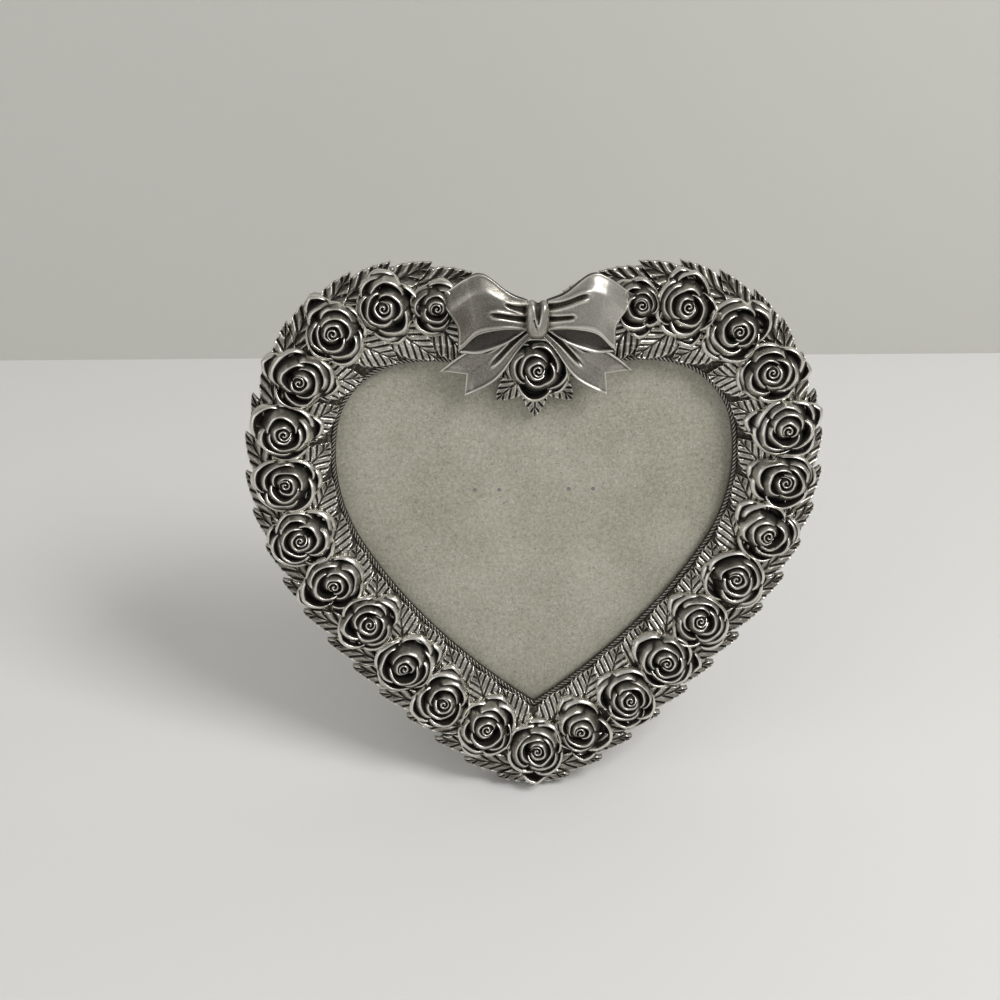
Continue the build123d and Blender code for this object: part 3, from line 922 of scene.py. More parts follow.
@dataclass(frozen=True)
class Rose:
    """A rose of the garland, in millimetres from its own middle on the bed."""

    radius: float
    turn: float
    row_angle: float
    seed: int
    usual_radius: float = 6.2
    heart: Petal = Petal(1.95, 4.8, 0.0, 2.8, 0.1, 0.0, 0.9)
    inner_tier: Tier = Tier((3.45, 3.8), (4.3, 4.6), (1.5, 2.0), 0.11, 0.9, (0.06, 0.12), 0.3)
    middle_tier: Tier = Tier((5.0, 5.4), (3.7, 4.0), (0.95, 1.3), 0.08, 0.75, (0.06, 0.14), 0.25)
    outer_tier: Tier = Tier((6.5, 6.9), (2.6, 3.2), (0.9, 1.15), 0.06, 0.6, (0.08, 0.16), 0.2)
    side_tier: Tier = Tier((7.3, 7.8), (2.0, 2.3), (0.5, 0.65), 0.0, 0.6, stray=0.5)
    side_corners: tuple = (0.0, 0.14)
    bud_radius: float = 1.15
    bud_turns: float = 1.3
    bud_top: float = 4.55
    bud_core: float = 0.1
    bud_rounding: tuple = (0.012, 0.11)
    bud_falls: tuple = (2.2, 2.6)
    bud_end_fall: float = 6.0
    bud_shift: float = 0.6
    inner_fall: float = 4.5
    outer_curve: float = 0.45
    rim_round: float = 0.24
    wavers: tuple = ((3, 0.035, 1.7), (5, 0.02, 2.3))
    skirt: float = 0.7
    least_edge: float = 0.9
    squeeze: float = 0.09
    least_level: float = 0.1
    foot: float = 1.9
    rings: int = 74
    steps: int = 144

    def petals(self) -> tuple[list[Petal], list[Petal]]:
        """Choose the petals.

        Returns:
            The inner petals, and the outer ones that make the rose's outline.
        """
        chance = random.Random(self.seed)
        scale = self.radius / self.usual_radius
        way = chance.choice((-1, 1))
        pointed = chance.random() < 0.5
        inner = [replace(self.heart, reach=self.heart.reach * scale, middle=self.turn)]
        start = chance.uniform(0, FULL_TURN)
        inner += self.inner_tier.petals(chance, scale, start, 2, 2, pointed)
        start = chance.uniform(0, FULL_TURN)
        inner += self.middle_tier.petals(chance, scale, start, chance.choice((2, 3)), 3, pointed)
        count = chance.choice((3, 4, 4))
        start = chance.uniform(0, FULL_TURN)
        outer = self.outer_tier.petals(chance, scale, start, count, count, None)
        for side in (-1, 1):
            stray = chance.uniform(-self.side_tier.stray, self.side_tier.stray)
            middle = self.row_angle + side * (math.pi / 2 + stray)
            petal = self.side_tier.petal(chance, scale, middle, 0.0)
            outer.append(replace(petal, corner=chance.choice(self.side_corners)))
        return tuple([replace(petal, spiral=petal.spiral * way) for petal in petals]
                     for petals in (inner, outer))

    def bud(self, radius: np.ndarray, angle: np.ndarray) -> np.ndarray:
        """Give the level of the rolled bud.

        Args:
            radius: Distances from the middle.
            angle: Angles round it.

        Returns:
            The levels of its spiral ribbon, far down where it has none.
        """
        pitch = self.bud_radius / self.bud_turns
        level = np.full(radius.shape, -9.0)
        opening = (angle - self.turn) % FULL_TURN
        for winding in range(int(self.bud_turns) + 1):
            along = opening / FULL_TURN + winding
            past = np.maximum(along - self.bud_turns, 0)
            away = radius - pitch * (along + self.bud_core)
            rounded = np.sqrt(away**2 + self.bud_rounding[0]) - self.bud_rounding[1]
            fall = np.where(away > 0, *self.bud_falls) * rounded
            level = np.maximum(level, self.bud_top - fall - self.bud_end_fall * past)
        return level

    def wave(self, angle: np.ndarray, reach: float) -> np.ndarray:
        """Give how a rim wavers round the rose.

        Args:
            angle: Angles round the rose.
            reach: The rim's radius, which sets where its waves begin.

        Returns:
            The share of the radius at each angle.
        """
        return sum((
            size * np.sin(lobes * angle + (self.turn * lobes + reach * phase))
            for lobes, size, phase in self.wavers
        ), start=1)

    def relief(self, radius: np.ndarray, angle: np.ndarray, petals: list[Petal]) -> np.ndarray:
        """Give the level of the rose's surface.

        Args:
            radius: Distances from the middle.
            angle: Angles round it.
            petals: All its petals.

        Returns:
            The levels above the bed.
        """
        # Each petal drops steeply inside its rounded rim, and gently outside it.
        level = self.bud(radius, angle)
        for petal in petals:
            _, rim, top = petal.rim(angle)
            away = radius - rim * self.wave(angle, petal.reach)
            rounded = np.sqrt(away**2 + self.rim_round**2) - self.rim_round
            outward = petal.fall * rounded + self.outer_curve * np.maximum(away, 0)**2
            fall = np.where(away > 0, outward, self.inner_fall * rounded)
            level = np.maximum(level, top - fall)
        return level

    def edge(self, angle: np.ndarray, outer: list[Petal]) -> np.ndarray:
        """Give the radius of the rose's outline.

        Args:
            angle: Angles round the rose.
            outer: The petals that make the outline.

        Returns:
            The radius at each angle.
        """
        reach = np.full(angle.shape, self.radius * self.least_edge)
        for petal in outer:
            past, rim, _ = petal.rim(angle)
            reach = np.maximum(reach, rim * self.wave(angle, petal.reach) - past)
        return reach + self.skirt

    def shape(self) -> Shape:
        """Build the rose by spinning a radial line and pressing the relief into it.

        Returns:
            A closed mesh about the rose's own middle.
        """
        shape = bmesh.new()
        spots = [(index / self.rings, 0, 1) for index in range(self.rings + 1)]
        line = [shape.verts.new(spot) for spot in (*spots, (1, 0, -1), (0, 0, -1))]
        for start, end in zip(line, line[1:]):
            shape.edges.new((start, end))
        bmesh.ops.spin(
            shape, geom=shape.verts[:] + shape.edges[:], cent=(0, 0, 0), axis=(0, 0, 1),
            angle=FULL_TURN, steps=self.steps, use_merge=True,
        )
        bmesh.ops.remove_doubles(shape, verts=shape.verts, dist=1e-5)
        inner, outer = self.petals()
        verts = shape.verts[:]
        places = coordinates(verts)
        share = np.hypot(places[:, 0], places[:, 1])
        angle = np.arctan2(places[:, 1], places[:, 0])
        radius = share * self.edge(angle, outer)
        level = np.maximum(self.relief(radius, angle, inner + outer), self.least_level)
        level = np.where(places[:, 2] > 0, level, -self.foot)
        narrow = 1 - self.squeeze * np.cos(angle - self.row_angle)**2 * share
        lean = random.Random(self.seed + 100).uniform(0, FULL_TURN)
        shift = self.bud_shift * (1 - share)
        across = radius * narrow * np.cos(angle) + shift * math.cos(lean)
        up = radius * narrow * np.sin(angle) + shift * math.sin(lean)
        move(verts, np.stack([across, up, level], axis=1))
        return shape


@dataclass
class Garland:
    """The ring of roses, each of which takes its place from its own node."""

    trim: Trim
    coat: Coat
    count: int = 26
    least_radius: float = 4.9
    last_growth: float = 1.15
    turn_step: float = 1.37
    wear: Wear = (0.045, 0.6, 0.31)

    def build(self) -> None:
        """Build every rose, turned to the row that it stands in."""
        casting = self.trim.casting
        names = [f"rose_{number:02d}" for number in range(1, self.count + 1)]
        middles, radii = map(list, zip(*(casting.footprint(name) for name in names)))
        radii[-1] *= self.last_growth
        for index, name in enumerate(names):
            across, up = middles[min(index + 2, self.count - 1)] - middles[max(index - 2, 0)]
            rose = Rose(max(radii[index], self.least_radius), index * self.turn_step,
                        math.atan2(up, across), index)
            shape = rose.shape()
            place = Vector((*middles[index], casting.bed_rise))
            bmesh.ops.translate(shape, vec=place, verts=shape.verts)
            self.trim.piece(f"cast_{name}", shape, self.coat, name, wear=self.wear)


@dataclass(frozen=True)
class Leaf:
    """A veined leaf that lies on the casting's slope, in millimetres."""

    length: float
    width: float
    vein_pitch: float = 2.3
    vein_angle: float = 38.0
    vein_depth: float = 0.42
    vein_width: float = 0.19
    rib_tip_width: float = 0.12
    rib_growth: float = 0.14
    tooth_depth: float = 0.16
    curl: float = 0.0
    puff: float = 0.22
    puff_power: float = 0.5
    crown: float = 0.15
    rim_rise: float = 0.14
    rim_width: float = 0.22
    base_lift: float = 0.1
    tip_lift: float = 1.2
    hook: float = 0.3
    skirt: float = 1.8
    across: int = 32
    along: int = 84

    def add(self, shape: Shape, casting: Casting, tip: np.ndarray, heading: np.ndarray) -> None:
        """Add the leaf to a shape.

        Args:
            shape: The shape that gets the leaf.
            casting: The casting that it lies on.
            tip: Where the leaf's tip is.
            heading: The unit direction in which it points.
        """
        verts, side, share = add_grid(shape, self.across, self.along)
        side = 2 * side - 1
        # The leaf is widest two fifths of the way to its tip, and has a tooth for each vein.
        outline = np.sin(math.pi * np.clip(share, 0.004, 0.985)**0.75)**0.85
        slope = math.tan(math.radians(self.vein_angle))
        back = (share - 1) * self.length
        tooth = 1 - (back - self.width / 2 * outline / slope) / self.vein_pitch % 1
        half = self.width / 2 * outline * (1 - self.tooth_depth * tooth)
        off = side * half
        spots = tip + np.outer(back, heading)
        spots = spots + np.outer(off - self.curl * (1 - share**3), turned(heading, math.pi / 2))
        # Grooves run along the veins, a midrib narrows to the tip, and the fields are puffed.
        vein = (back - np.abs(off) / slope) / self.vein_pitch
        near_vein = np.abs(vein - np.round(vein)) * self.vein_pitch * math.sin(math.atan(slope))
        groove = np.exp(-(near_vein / self.vein_width)**2) * ramp(np.abs(off), 0.0, 0.4)
        rib = np.exp(-(off / (self.rib_tip_width + self.rib_growth * (1 - share)))**2)
        swell = self.puff * np.abs(np.sin(math.pi * vein))**self.puff_power
        swell = swell * np.minimum(np.abs(off), 1)
        rim = self.rim_rise * np.exp(-((half - np.abs(off)) / self.rim_width)**2)
        arch = self.crown * (1 - np.abs(side)**2.5) + rim
        # The leaf rises towards its tip, which hooks up and then dips.
        lift = self.base_lift + (self.tip_lift - self.base_lift) * share**1.6
        hooked = self.hook * ramp(share, 0.8, 0.94)
        lift = lift + hooked - 1.6 * self.hook * ramp(share, 0.95, 1.0)
        carve = self.vein_depth * np.maximum(groove, rib)
        move(verts, np.column_stack([spots, casting.bed(spots) + lift + arch + swell - carve]))
        # A wall down into the casting closes it.
        edges = list({edge for vert in verts for edge in vert.link_edges if edge.is_boundary})
        wall = bmesh.ops.extrude_edge_only(shape, edges=edges)["geom"]
        low = [item for item in wall if isinstance(item, bmesh.types.BMVert)]
        bmesh.ops.translate(shape, vec=(0, 0, -self.skirt), verts=low)
        base = [item for item in wall if isinstance(item, bmesh.types.BMEdge) and item.is_boundary]
        bmesh.ops.contextual_create(shape, geom=base)


@dataclass
class LeafBorders:
    """The leaves along the outline and round the window, and those at the tip and the cleft."""

    trim: Trim
    coat: Coat
    outer_count: int = 22
    inner_count: int = 16
    outer_leaf: Leaf = Leaf(13.5, 6.0, vein_pitch=3.2, tooth_depth=0.06, curl=-0.9, puff=0.65,
                            puff_power=1.1, tip_lift=1.6)
    inner_leaf: Leaf = Leaf(12.2, 9.2, crown=-0.15, tip_lift=1.4)
    tip_leaf: Leaf = Leaf(7.6, 9.4, vein_angle=32.0)
    cleft_leaf: Leaf = Leaf(9.5, 6.6)
    outer_lean: float = 28.0
    inner_lean: float = 35.0
    lean_spread: float = 3.0
    width_spread: float = 0.05
    lift_spread: float = 0.15
    overhang: float = 0.85
    lip_width: float = 1.1
    tip_overhang: float = 0.6
    cleft_reach: float = 12.0
    cleft_spread: float = 46.0
    # Besides the wear, the lifts hold painted light and shade: the outer leaves are kept darker as
    # painted shade, and the inner, tip and cleft leaves lighter as painted light.
    outer_wear_and_shade: Wear = (0.13, 2.2, 0.32)
    inner_wear_and_light: Wear = (0.12, 2.2, 0.42)

    def row(self, line: HeartLine, count: int, leaf: Leaf, out: float, lean: float) -> Shape:
        """Build one border's leaves on the right half.

        Args:
            line: The edge that the leaves follow.
            count: How many leaves there are.
            leaf: The leaf that is repeated.
            out: How far the tips stand outside the line.
            lean: How far the leaves turn away from the line, in degrees.

        Returns:
            The leaves as one shape.
        """
        shape = bmesh.new()
        chance = random.Random(count)
        for index in range(count):
            spot, heading = follow(line.points(), (index + 1) / (count + 1), line.step)
            outward = np.array([heading[1], -heading[0]])
            turn, growth, lift = (
                middle + chance.uniform(-spread, spread)
                for middle, spread in ((lean, self.lean_spread), (1, self.width_spread),
                                       (leaf.tip_lift, self.lift_spread))
            )
            grown = replace(leaf, width=leaf.width * growth, tip_lift=lift)
            heading = turned(heading, math.radians(turn))
            grown.add(shape, self.trim.casting, spot + outward * out, heading)
        return shape

    def both_sides(self, name: str, shape: Shape, wear: Wear) -> None:
        """Make the right border from a shape and the left one from its mirror image.

        Args:
            name: The border's name.
            shape: The leaves of the right half.
            wear: Their wear, whose lift also holds painted shade for the outer leaves and painted
                light for the inner ones.
        """
        left = shape.copy()
        bmesh.ops.scale(left, vec=(-1, 1, 1), verts=left.verts)
        for side, leaves in (("right", shape), ("left", left)):
            self.trim.piece(f"cast_{name}_{side}", leaves, self.coat, f"{name}_{side}", wear=wear)

    def build(self) -> None:
        """Build all the leaves."""
        casting = self.trim.casting
        outer = self.row(casting.outline, self.outer_count, self.outer_leaf, self.overhang,
                         -self.outer_lean)
        self.both_sides("outer_leaves", outer, self.outer_wear_and_shade)
        inner = self.row(casting.window, self.inner_count, self.inner_leaf, self.lip_width,
                         self.inner_lean)
        self.both_sides("inner_leaves", inner, self.inner_wear_and_light)
        down = np.array([0.0, -1.0])
        tip, cleft = bmesh.new(), bmesh.new()
        self.tip_leaf.add(tip, casting, down * self.tip_overhang, down)
        middle, _ = casting.footprint("rose_26")
        for turn in (-self.cleft_spread, self.cleft_spread, 0):
            heading = turned(down, math.radians(turn))
            self.cleft_leaf.add(cleft, casting, middle + heading * self.cleft_reach, heading)
        for node, leaves in (("tip_leaf", tip), ("cleft_leaves", cleft)):
            self.trim.piece(f"cast_{node}", leaves, self.coat, node, wear=self.inner_wear_and_light)


@dataclass
class MilledLip:
    """The fine ribbed lip round the window, in millimetres."""

    trim: Trim
    coat: Coat
    width: float = 1.1
    seat: float = 0.4
    rise: float = 0.55
    rib_pitch: float = 0.95
    rib_depth: float = 0.26
    rib_slant: float = 0.7
    side_cut: float = 0.35
    heading_reach: float = 0.8
    steps_per_rib: int = 6
    section: int = 16
    wear: Wear = (0.11, 2.5, 0.07)

    def build(self) -> None:
        """Build the lip as a closed ribbed bead that follows the window's edge."""
        line = self.trim.casting.window.points()
        loop = np.vstack([line, (line * (-1, 1))[-2::-1]])
        ribs = int(arc_lengths(loop)[-1] / self.rib_pitch)
        shape = bmesh.new()
        verts, along, around = add_grid(shape, ribs * self.steps_per_rib, self.section)
        around = around * FULL_TURN
        spots, heading = follow(loop, along, self.heading_reach, closed=True)
        outward = np.stack([heading[:, 1], -heading[:, 0]], axis=1)
        half_width, half_height = self.width / 2, (self.rise + self.seat) / 2
        slanted = along * ribs + self.rib_slant * np.cos(around)
        rib = self.rib_depth * (0.5 - 0.5 * np.cos(FULL_TURN * slanted))
        reach = half_width - self.side_cut * rib * np.abs(np.cos(around))
        spots = spots + outward * (half_width - reach * np.cos(around))[:, None]
        level = (self.rise - self.seat) / 2 + half_height * np.sin(around)
        level = level - rib * np.maximum(np.sin(around), 0)
        move(verts, np.column_stack([spots, level]))
        bmesh.ops.remove_doubles(shape, verts=shape.verts, dist=1e-4)
        self.trim.piece("milled_lip", shape, self.coat, "inner_lip", wear=self.wear)


@dataclass(frozen=True)
class Gather:
    """A groove that runs out from the knot: its place across the ribbon, its width and its end."""

    near: float
    far: float
    end: float
    width: float
    depth: float

    def cut(self, out: np.ndarray, across: np.ndarray) -> np.ndarray:
        """Give how deep the groove is.

        Args:
            out: Places along the ribbon, from 0 at the knot to 1.
            across: Places across it, from 0 to 1.

        Returns:
            The depths, with a slight ridge along both sides.
        """
        share = np.clip(out / self.end, 0, 1)
        off = across - self.near - (self.far - self.near) * share
        off = off / (self.width * (1.1 - 0.6 * share))
        fade = 1 - ramp(share, 0.72, 1.0)
        return self.depth * fade * (np.exp(-off**2) - 0.35 * np.exp(-(np.abs(off) - 2)**2))


@dataclass
class RibbonBow:
    """The bow at the top: two loops, two tails and the knot, in millimetres."""

    trim: Trim
    coat: Coat
    reach: float = 20.6
    knot_share: float = 0.913
    bow_level: float = 3.4
    tail_thickness: float = 1.4
    sheet: float = 0.5
    root_rise: float = 2.5
    loop_rise: float = 2.3
    end_rise: float = 2.2
    rim_rise: float = 0.9
    roll_back: float = 1.7
    edge_drop: float = 0.35
    bead: float = 0.3
    waist: float = 1.6
    bulge: float = 0.6
    turn_start: float = 0.46
    turn_end: float = 0.54
    notch: float = 0.17
    tail_wave: float = 0.5
    tail_tip_drop: float = 0.5
    knot_hollow: float = 0.42
    knot_branch: float = 0.14
    knot_powers: tuple = (0.7, 0.6, 0.75)
    loop_grid: tuple = (170, 72)
    tail_grid: tuple = (100, 64)
    knot_grid: tuple = (110, 80)
    knot_rise: float = 5.4
    knot_width: float = 5.6
    knot_height: float = 8.4
    top_shares: tuple = ((0.10, 0.185), (0.30, 0.27), (0.56, 0.455), (0.74, 0.42), (1.0, 0.24))
    mouth_shares: tuple = ((0.10, -0.125), (0.36, -0.105), (0.62, -0.16), (0.81, -0.33))
    foot_shares: tuple = ((0.10, -0.13), (0.32, -0.28), (0.60, -0.38), (0.81, -0.375))
    tail_inner_shares: tuple = ((0.01, -0.15), (0.185, -0.34), (0.427, -0.665), (0.767, -0.854))
    tail_outer_shares: tuple = ((0.01, 0.05), (0.5, -0.22), (0.85, -0.44), (1.03, -0.59))
    left_gathers: tuple = (Gather(0.70, 0.64, 0.3, 0.07, 0.8), Gather(0.38, 0.3, 0.52, 0.06, 1.0))
    right_gathers: tuple = (Gather(0.78, 0.63, 0.55, 0.07, 1.1), Gather(0.38, 0.27, 0.38, 0.06, 1))
    tail_gathers: tuple = (Gather(0.40, 0.36, 0.72, 0.075, 1), Gather(0.62, 0.72, 0.66, 0.07, 0.9))
    fine_wear: float = 0.07
    broad_wear: float = 0.9

    def curve(self, shares: tuple, along: np.ndarray) -> np.ndarray:
        """Give places along an edge, whose points are shares of the bow's reach from the knot."""
        middle = np.array([0, self.knot_share * self.trim.casting.outline.height])
        return middle + smooth_curve(np.array(shares), along) * self.reach

    def thicken(self, shape: Shape) -> None:
        """Give a flat shape the ribbon's thickness."""
        bmesh.ops.recalc_face_normals(shape, faces=shape.faces)
        bmesh.ops.solidify(shape, geom=shape.faces[:], thickness=self.sheet)

    def loop(self, gathers: tuple) -> Shape:
        """Build a right loop: a sheet that runs out from the knot, turns over and comes back.

        Args:
            gathers: The grooves of its front.

        Returns:
            The loop.
        """
        shape = hollowed()
        verts, along, up = add_grid(shape, *self.loop_grid)
        # The sheet runs out along the front, over the turn at the loop's end, and back behind.
        out = np.where(along < 0.5, np.clip(along / self.turn_start, 0, 1),
                       np.clip((1 - along) / (1 - self.turn_end), 0, 1))
        turn_share = (along - self.turn_start) / (self.turn_end - self.turn_start)
        fold = np.clip(turn_share, 0, 1) * math.pi
        swap = (1 - np.cos(fold)) / 2
        low = between(self.curve(self.mouth_shares, out), self.curve(self.foot_shares, out), swap)
        spots = between(low, self.curve(self.top_shares, out), up)
        # The loop's end is drawn in at a waist.
        waist = self.waist * np.exp(-((up - 0.42) / 0.3)**2) * ramp(out, 0.6, 1.0)
        spots[:, 0] += self.bulge * np.sin(fold) - waist
        # The front arches, its top edge rolls back, and its lower rim is beaded.
        base = self.bow_level + self.tail_thickness
        arch = self.loop_rise * np.sin(math.pi * np.clip(out, 0, 1)**0.9)
        front = base + self.root_rise + (self.end_rise - self.root_rise) * out + arch
        front = front - self.roll_back * ramp(up, 0.68, 1.0) * ramp(out, 0.1, 0.5)
        front = front - self.edge_drop * ramp(1 - up, 0.85, 1.0)
        front = front + self.bead * np.exp(-((up - 0.06) / 0.04)**2)
        for gather in gathers:
            front = front - gather.cut(out, up)
        rim = np.exp(-(up / 0.045)**2)
        back = base + self.bead + self.rim_rise * rim * ramp(out, 0.05, 0.3)
        move(verts, np.column_stack([spots, front * (1 - swap) + back * swap]))
        mark_hollow(shape, verts, 0.8 * ramp(swap, 0.4, 0.8) * (1 - rim))
        self.thicken(shape)
        return shape

    def tail(self) -> Shape:
        """Build the right tail: a sheet with two gathered folds and a notched end.

        Returns:
            The tail.
        """
        shape = bmesh.new()
        verts, along, across = add_grid(shape, *self.tail_grid)
        reach = along * (1 - self.notch * (1 - np.abs(2 * across - 1)))
        spots = between(self.curve(self.tail_inner_shares, reach),
                        self.curve(self.tail_outer_shares, reach), across)
        level = self.bow_level + self.tail_thickness - 0.1
        level = level + self.tail_wave * np.sin(along * math.pi * 1.2)
        for gather in self.tail_gathers:
            level = level - gather.cut(along, across)
        # Both edges are raised, and the two points of the notched end dip.
        level = level + self.bead * (ramp(across, 0.92, 0.98) + ramp(1 - across, 0.92, 0.98))
        level = level - self.tail_tip_drop * ramp(along, 0.9, 1.0) * np.abs(2 * across - 1)
        move(verts, np.column_stack([spots, level]))
        self.thicken(shape)
        return shape

    def knot(self) -> Shape:
        """Build the knot: a barrel with a hollow at its top that narrows to a fold lower down.

        Returns:
            The knot.
        """
        shape = hollowed()
        columns, rows = self.knot_grid
        bmesh.ops.create_uvsphere(shape, u_segments=columns, v_segments=rows, radius=1)
        verts = shape.verts[:]
        places = coordinates(verts)
        # The powers square the ball off to a barrel.
        across, up, out = (np.sign(places) * np.abs(places) ** np.array(self.knot_powers)).T
        opening = 0.07 + 0.22 * ramp(up, -0.35, 0.95)
        hollow = np.exp(-((across - 0.04) / opening)**2) * ramp(up, -0.4, 0.15)
        branch = np.exp(-((across + 0.32 + 0.5 * up) / 0.09)**2)
        branch = branch * ramp(up, -0.6, -0.3) * (up < 0.05)
        out = out - (self.knot_hollow * hollow + self.knot_branch * branch) * (out > 0)
        middle = self.knot_share * self.trim.casting.outline.height
        level = self.bow_level + self.tail_thickness + self.knot_rise / 2
        tall = up * self.knot_height / 2 - 0.9 * hollow * ramp(up, 0.6, 0.95)
        wide = across * self.knot_width / 2 * (0.93 + 0.07 * up)
        move(verts, np.stack([wide, middle + tall, level + out * self.knot_rise / 2], axis=1))
        mark_hollow(shape, verts, 0.6 * hollow)
        return shape

    def build(self) -> None:
        """Build the bow's five pieces, the left ones as mirrored right ones."""
        tail = self.tail()
        # The left loop and tail get lower wear lifts than the right ones: partly darker patina, and
        # partly painted shade on the left side and painted light on the right.
        for name, shape, side, lift in (
            ("loop_right", self.loop(self.right_gathers), 1, 0.62),
            ("loop_left", self.loop(self.left_gathers), -1, 0.37),
            ("tail_left", tail.copy(), -1, 0.46),
            ("tail_right", tail, 1, 0.5),
            ("knot", self.knot(), 1, 0.5),
        ):
            bmesh.ops.scale(shape, vec=(side, 1, 1), verts=shape.verts)
            self.trim.piece(f"ribbon_{name}", shape, self.coat, f"bow_{name}",
                            wear=(self.fine_wear, self.broad_wear, lift))


class Backing(Enum):
    """The pieces that start from their own solid: its name, its finish and its body."""

    GLASS = ("glass_pane", "clear", "frame")
    BOARD = ("backing_board", "board", "frame")
    VELVET = ("velvet_backing", "velvet", "frame")
    LEG_BOARD = ("easel_leg_board", "board", "leg")
    LEG_VELVET = ("easel_leg_velvet", "velvet", "leg")
    FIXED_LEAF = ("hinge_fixed_leaf", "steel", "frame")
    MOVING_LEAF = ("hinge_moving_leaf", "steel", "leg")
    PIN = ("hinge_pin", "steel", "frame")
    STAPLES = ("hinge_staples", "steel", "frame")
    LEG_RIVETS = ("leg_rivets", "nickel", "leg")
    CLIP_RIVETS = ("clip_rivets", "nickel", "frame")
    LOWER_RIGHT = ("turn_clip_lower_right", "nickel", "clip_lower_right")
    LOWER_LEFT = ("turn_clip_lower_left", "nickel", "clip_lower_left")
    UPPER_RIGHT = ("turn_clip_upper_right", "nickel", "clip_upper_right")
    UPPER_LEFT = ("turn_clip_upper_left", "nickel", "clip_upper_left")


@dataclass
class BackFittings:
    """The glass, board, velvet, hinge, leg and clips, with the soft edges of their making."""

    trim: Trim
    coats: dict[str, Coat]
    sharp_angle: float = 35.0
    glass_share: float = 0.93

    def build(self) -> None:
        """Build every piece, with the glass a little thinner than its rebate."""
        for item in Backing:
            node, finish, body = item.value
            coat = self.coats[finish]
            shape = merged_node(node, self.trim.casting)
            round_edges(shape, coat.rounding, self.sharp_angle)
            if item is Backing.GLASS:
                levels = [vert.co.z for vert in shape.verts]
                middle = (min(levels) + max(levels)) / 2
                for vert in shape.verts:
                    vert.co.z = middle + (vert.co.z - middle) * self.glass_share
            self.trim.piece(f"{finish}_{node}", shape, coat, node, body)


@dataclass
class CastRing:
    """The casting itself, which shows as dark rough ground among the trim and as a smooth back."""

    trim: Trim
    ground: Coat
    back: Coat
    sharp_angle: float = 30.0
    wall_inset: float = 0.9
    wall_band: float = 0.5
    tip_start: float = 3.0
    tip_end: float = 9.0
    front_tilt: float = 0.3
    ground_wear: float = 0.24
    back_wear: float = 0.46

    def narrowed(self, places: np.ndarray) -> np.ndarray:
        """Set the outer wall back behind the leaf tips, but for the tip that the frame stands on.

        Args:
            places: The ring's points.

        Returns:
            Their new places.
        """
        outline = self.trim.casting.outline
        line = outline.points()
        heading = np.gradient(line, axis=0)
        inward = np.stack([-heading[:, 1], heading[:, 0]], axis=1)
        inward /= np.hypot(*inward.T)[:, None]
        mirrored = np.stack([np.abs(places[:, 0]), places[:, 1]], axis=1)
        off = mirrored[:, None] - line[None]
        nearest = np.hypot(off[:, :, 0], off[:, :, 1]).argmin(1)
        amount = self.wall_inset * ramp(places[:, 1], self.tip_start, self.tip_end)
        amount = amount * (np.abs(outline.inside(places[:, :2])) < self.wall_band)
        side = np.where(places[:, 0] < 0, -1, 1)
        moved = places.copy()
        moved[:, 0] += side * inward[nearest, 0] * amount
        moved[:, 1] += inward[nearest, 1] * amount
        return moved

    def build(self) -> None:
        """Build the ring with rounded edges, a rough dark front and smooth sides and back."""
        shape = merged_node("heart_ring", self.trim.casting)
        verts = shape.verts[:]
        move(verts, self.narrowed(coordinates(verts)))
        round_edges(shape, self.ground.rounding, self.sharp_angle)
        ring = self.trim.piece("cast_heart_ring", shape, self.ground, "heart_ring").data
        ring.materials.append(self.back.material)
        out = self.trim.casting.front()
        wear = [self.ground_wear if vertex.normal @ out > self.front_tilt else self.back_wear
                for vertex in ring.vertices]
        store(WEAR, ring, np.array(wear))
        for face in ring.polygons:
            face.material_index = 0 if face.normal @ out > self.front_tilt else 1


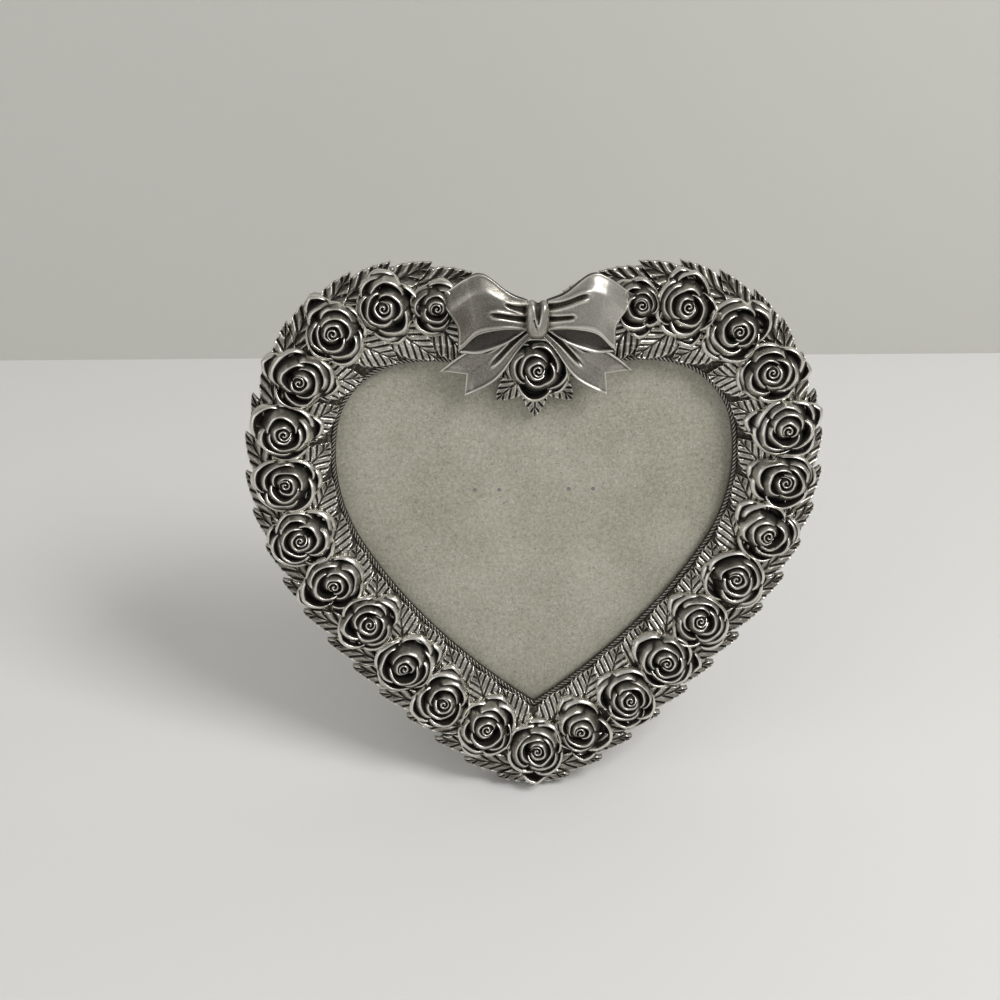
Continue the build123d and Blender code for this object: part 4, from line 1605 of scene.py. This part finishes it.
@dataclass
class Studio:
    """The floor, the wall behind it, the lamps and the camera. Sizes in metres."""

    casting: Casting
    floor_size: float = 6.0
    wall_distance: float = 0.2295
    floor_colour: str = "#e6e5e3"
    wall_colour: str = "#cccbc5"
    lamps: tuple = (("key", 4.5, 0.35, (0.45, -0.35, 0.75)), ("fill", 0.9, 0.6, (-0.7, -0.5, 0.35)))
    lamp_target: tuple = (0, 0, 0.06)
    room_light: float = 0.45
    nearest_seen: float = 0.01
    focal_pixels: float = 1500.0
    image_pixels: float = 1000.0
    sensor_mm: float = 36.0
    turns: tuple = (16.575, 1.723, 0.089)
    offset_mm: tuple = (7.827, 6.077, -340.472)
    fit_origin_mm: tuple = (-0.054, 77.154, 0.0)

    def surface(self, name: str, colour: str, corners: list[tuple[float, float, float]]) -> None:
        """Add a plain surface that isn't part of the object.

        Args:
            name: Its name.
            colour: Its sRGB hex colour.
            corners: Its four corners, counterclockwise as seen from its front.
        """
        shape = bmesh.new()
        shape.faces.new([shape.verts.new(corner) for corner in corners])
        put_shape(name, shape, StagePaint(f"plain_{name}", colour).material())

    def lamp(self, name: str, power: float, size: float, place: Vector) -> None:
        """Add a soft square lamp that points at the object.

        Args:
            name: Its name.
            power: Its power in watts.
            size: Its side.
            place: Where it hangs.
        """
        light = bpy.data.lights.new(name, "AREA")
        light.energy = power
        light.size = size
        lamp = put(name, light)
        lamp.location = place
        lamp.rotation_euler = (place - Vector(self.lamp_target)).to_track_quat("Z", "Y").to_euler()

    def camera(self) -> None:
        """Add the camera at the photograph's viewing angle."""
        tilt, pan, roll = (math.radians(turn) for turn in self.turns)
        turn = (Matrix.Rotation(roll, 3, "Z") @ Matrix.Rotation(tilt, 3, "X")
                @ Matrix.Rotation(pan, 3, "Y"))
        eye = -(turn.transposed() @ Vector(self.offset_mm)) + Vector(self.fit_origin_mm)
        to_plane = Matrix.Translation(eye) @ turn.transposed().to_4x4()
        lens = bpy.data.cameras.new("camera")
        lens.sensor_width = self.sensor_mm
        lens.lens = self.focal_pixels / self.image_pixels * self.sensor_mm
        lens.clip_start = self.nearest_seen
        camera = put("camera", lens)
        camera.rotation_mode = "QUATERNION"
        placed = self.casting.matrix() @ to_plane
        camera.location, camera.rotation_quaternion, _ = placed.decompose()
        bpy.context.scene.camera = camera

    def room(self) -> None:
        """Fill the room with an even, dim light."""
        world = bpy.data.worlds.new("room")
        world.use_nodes = True
        background = world.node_tree.nodes["Background"]
        background.inputs["Color"].default_value = linear("#ffffff")
        background.inputs["Strength"].default_value = self.room_light
        bpy.context.scene.world = world

    def build(self) -> None:
        """Build the whole set."""
        half, back = self.floor_size / 2, self.wall_distance
        self.surface("floor", self.floor_colour,
                     [(-half, -half, 0), (half, -half, 0), (half, half, 0), (-half, half, 0)])
        self.surface("wall", self.wall_colour,
                     [(-half, back, 0), (half, back, 0), (half, back, half), (-half, back, half)])
        for name, power, size, place in self.lamps:
            self.lamp(name, power, size, Vector(place))
        self.camera()
        self.room()
        bpy.context.scene.view_settings.view_transform = "Standard"


def main() -> None:
    """Build and dress the object, then set the stage."""
    casting = Casting()
    trim = Trim(casting)
    antiqued = Coat(CastPewter("antiqued_cast_pewter").material(), "antiqued_pewter")
    rough = CastPewter("rough_cast_pewter", mottle=0.3, cast_grain_mm=0.8, grain_depth_mm=0.3)
    ground = Coat(rough.material(), "antiqued_pewter", rounding=0.3)
    buffed = CastPewter("satin_cast_pewter", "#2b2723", "#6e6962", "#a9a59d", "#d6d3cb",
                        rough_hollow=0.5, rough_rim=0.32, worn=0.05, mottle=0.1)
    satin = Coat(buffed.material(), "satin_pewter")
    steel = PlatedSteel("zinc_plated_steel", "#9c9c9a", 0.34)
    nickel = PlatedSteel("nickel_plated_steel", "#b9b4aa", 0.26, line_mm=0.15, line_length=1.0)
    Garland(trim, antiqued).build()
    LeafBorders(trim, antiqued).build()
    MilledLip(trim, antiqued).build()
    RibbonBow(trim, satin).build()
    CastRing(trim, ground, antiqued).build()
    BackFittings(trim, {
        "clear": Coat(FloatGlass().material(), "glass", 0.05),
        "board": Coat(Greyboard().material(), "chipboard", 0.12),
        "velvet": Coat(CottonVelvet().material(), "velvet", 0.22),
        "steel": Coat(steel.material(), "hinge_steel", 0.1),
        "nickel": Coat(nickel.material(), "nickelled_steel", 0.1),
    }).build()
    Studio(casting).build()


if __name__ == "__main__":
    main()
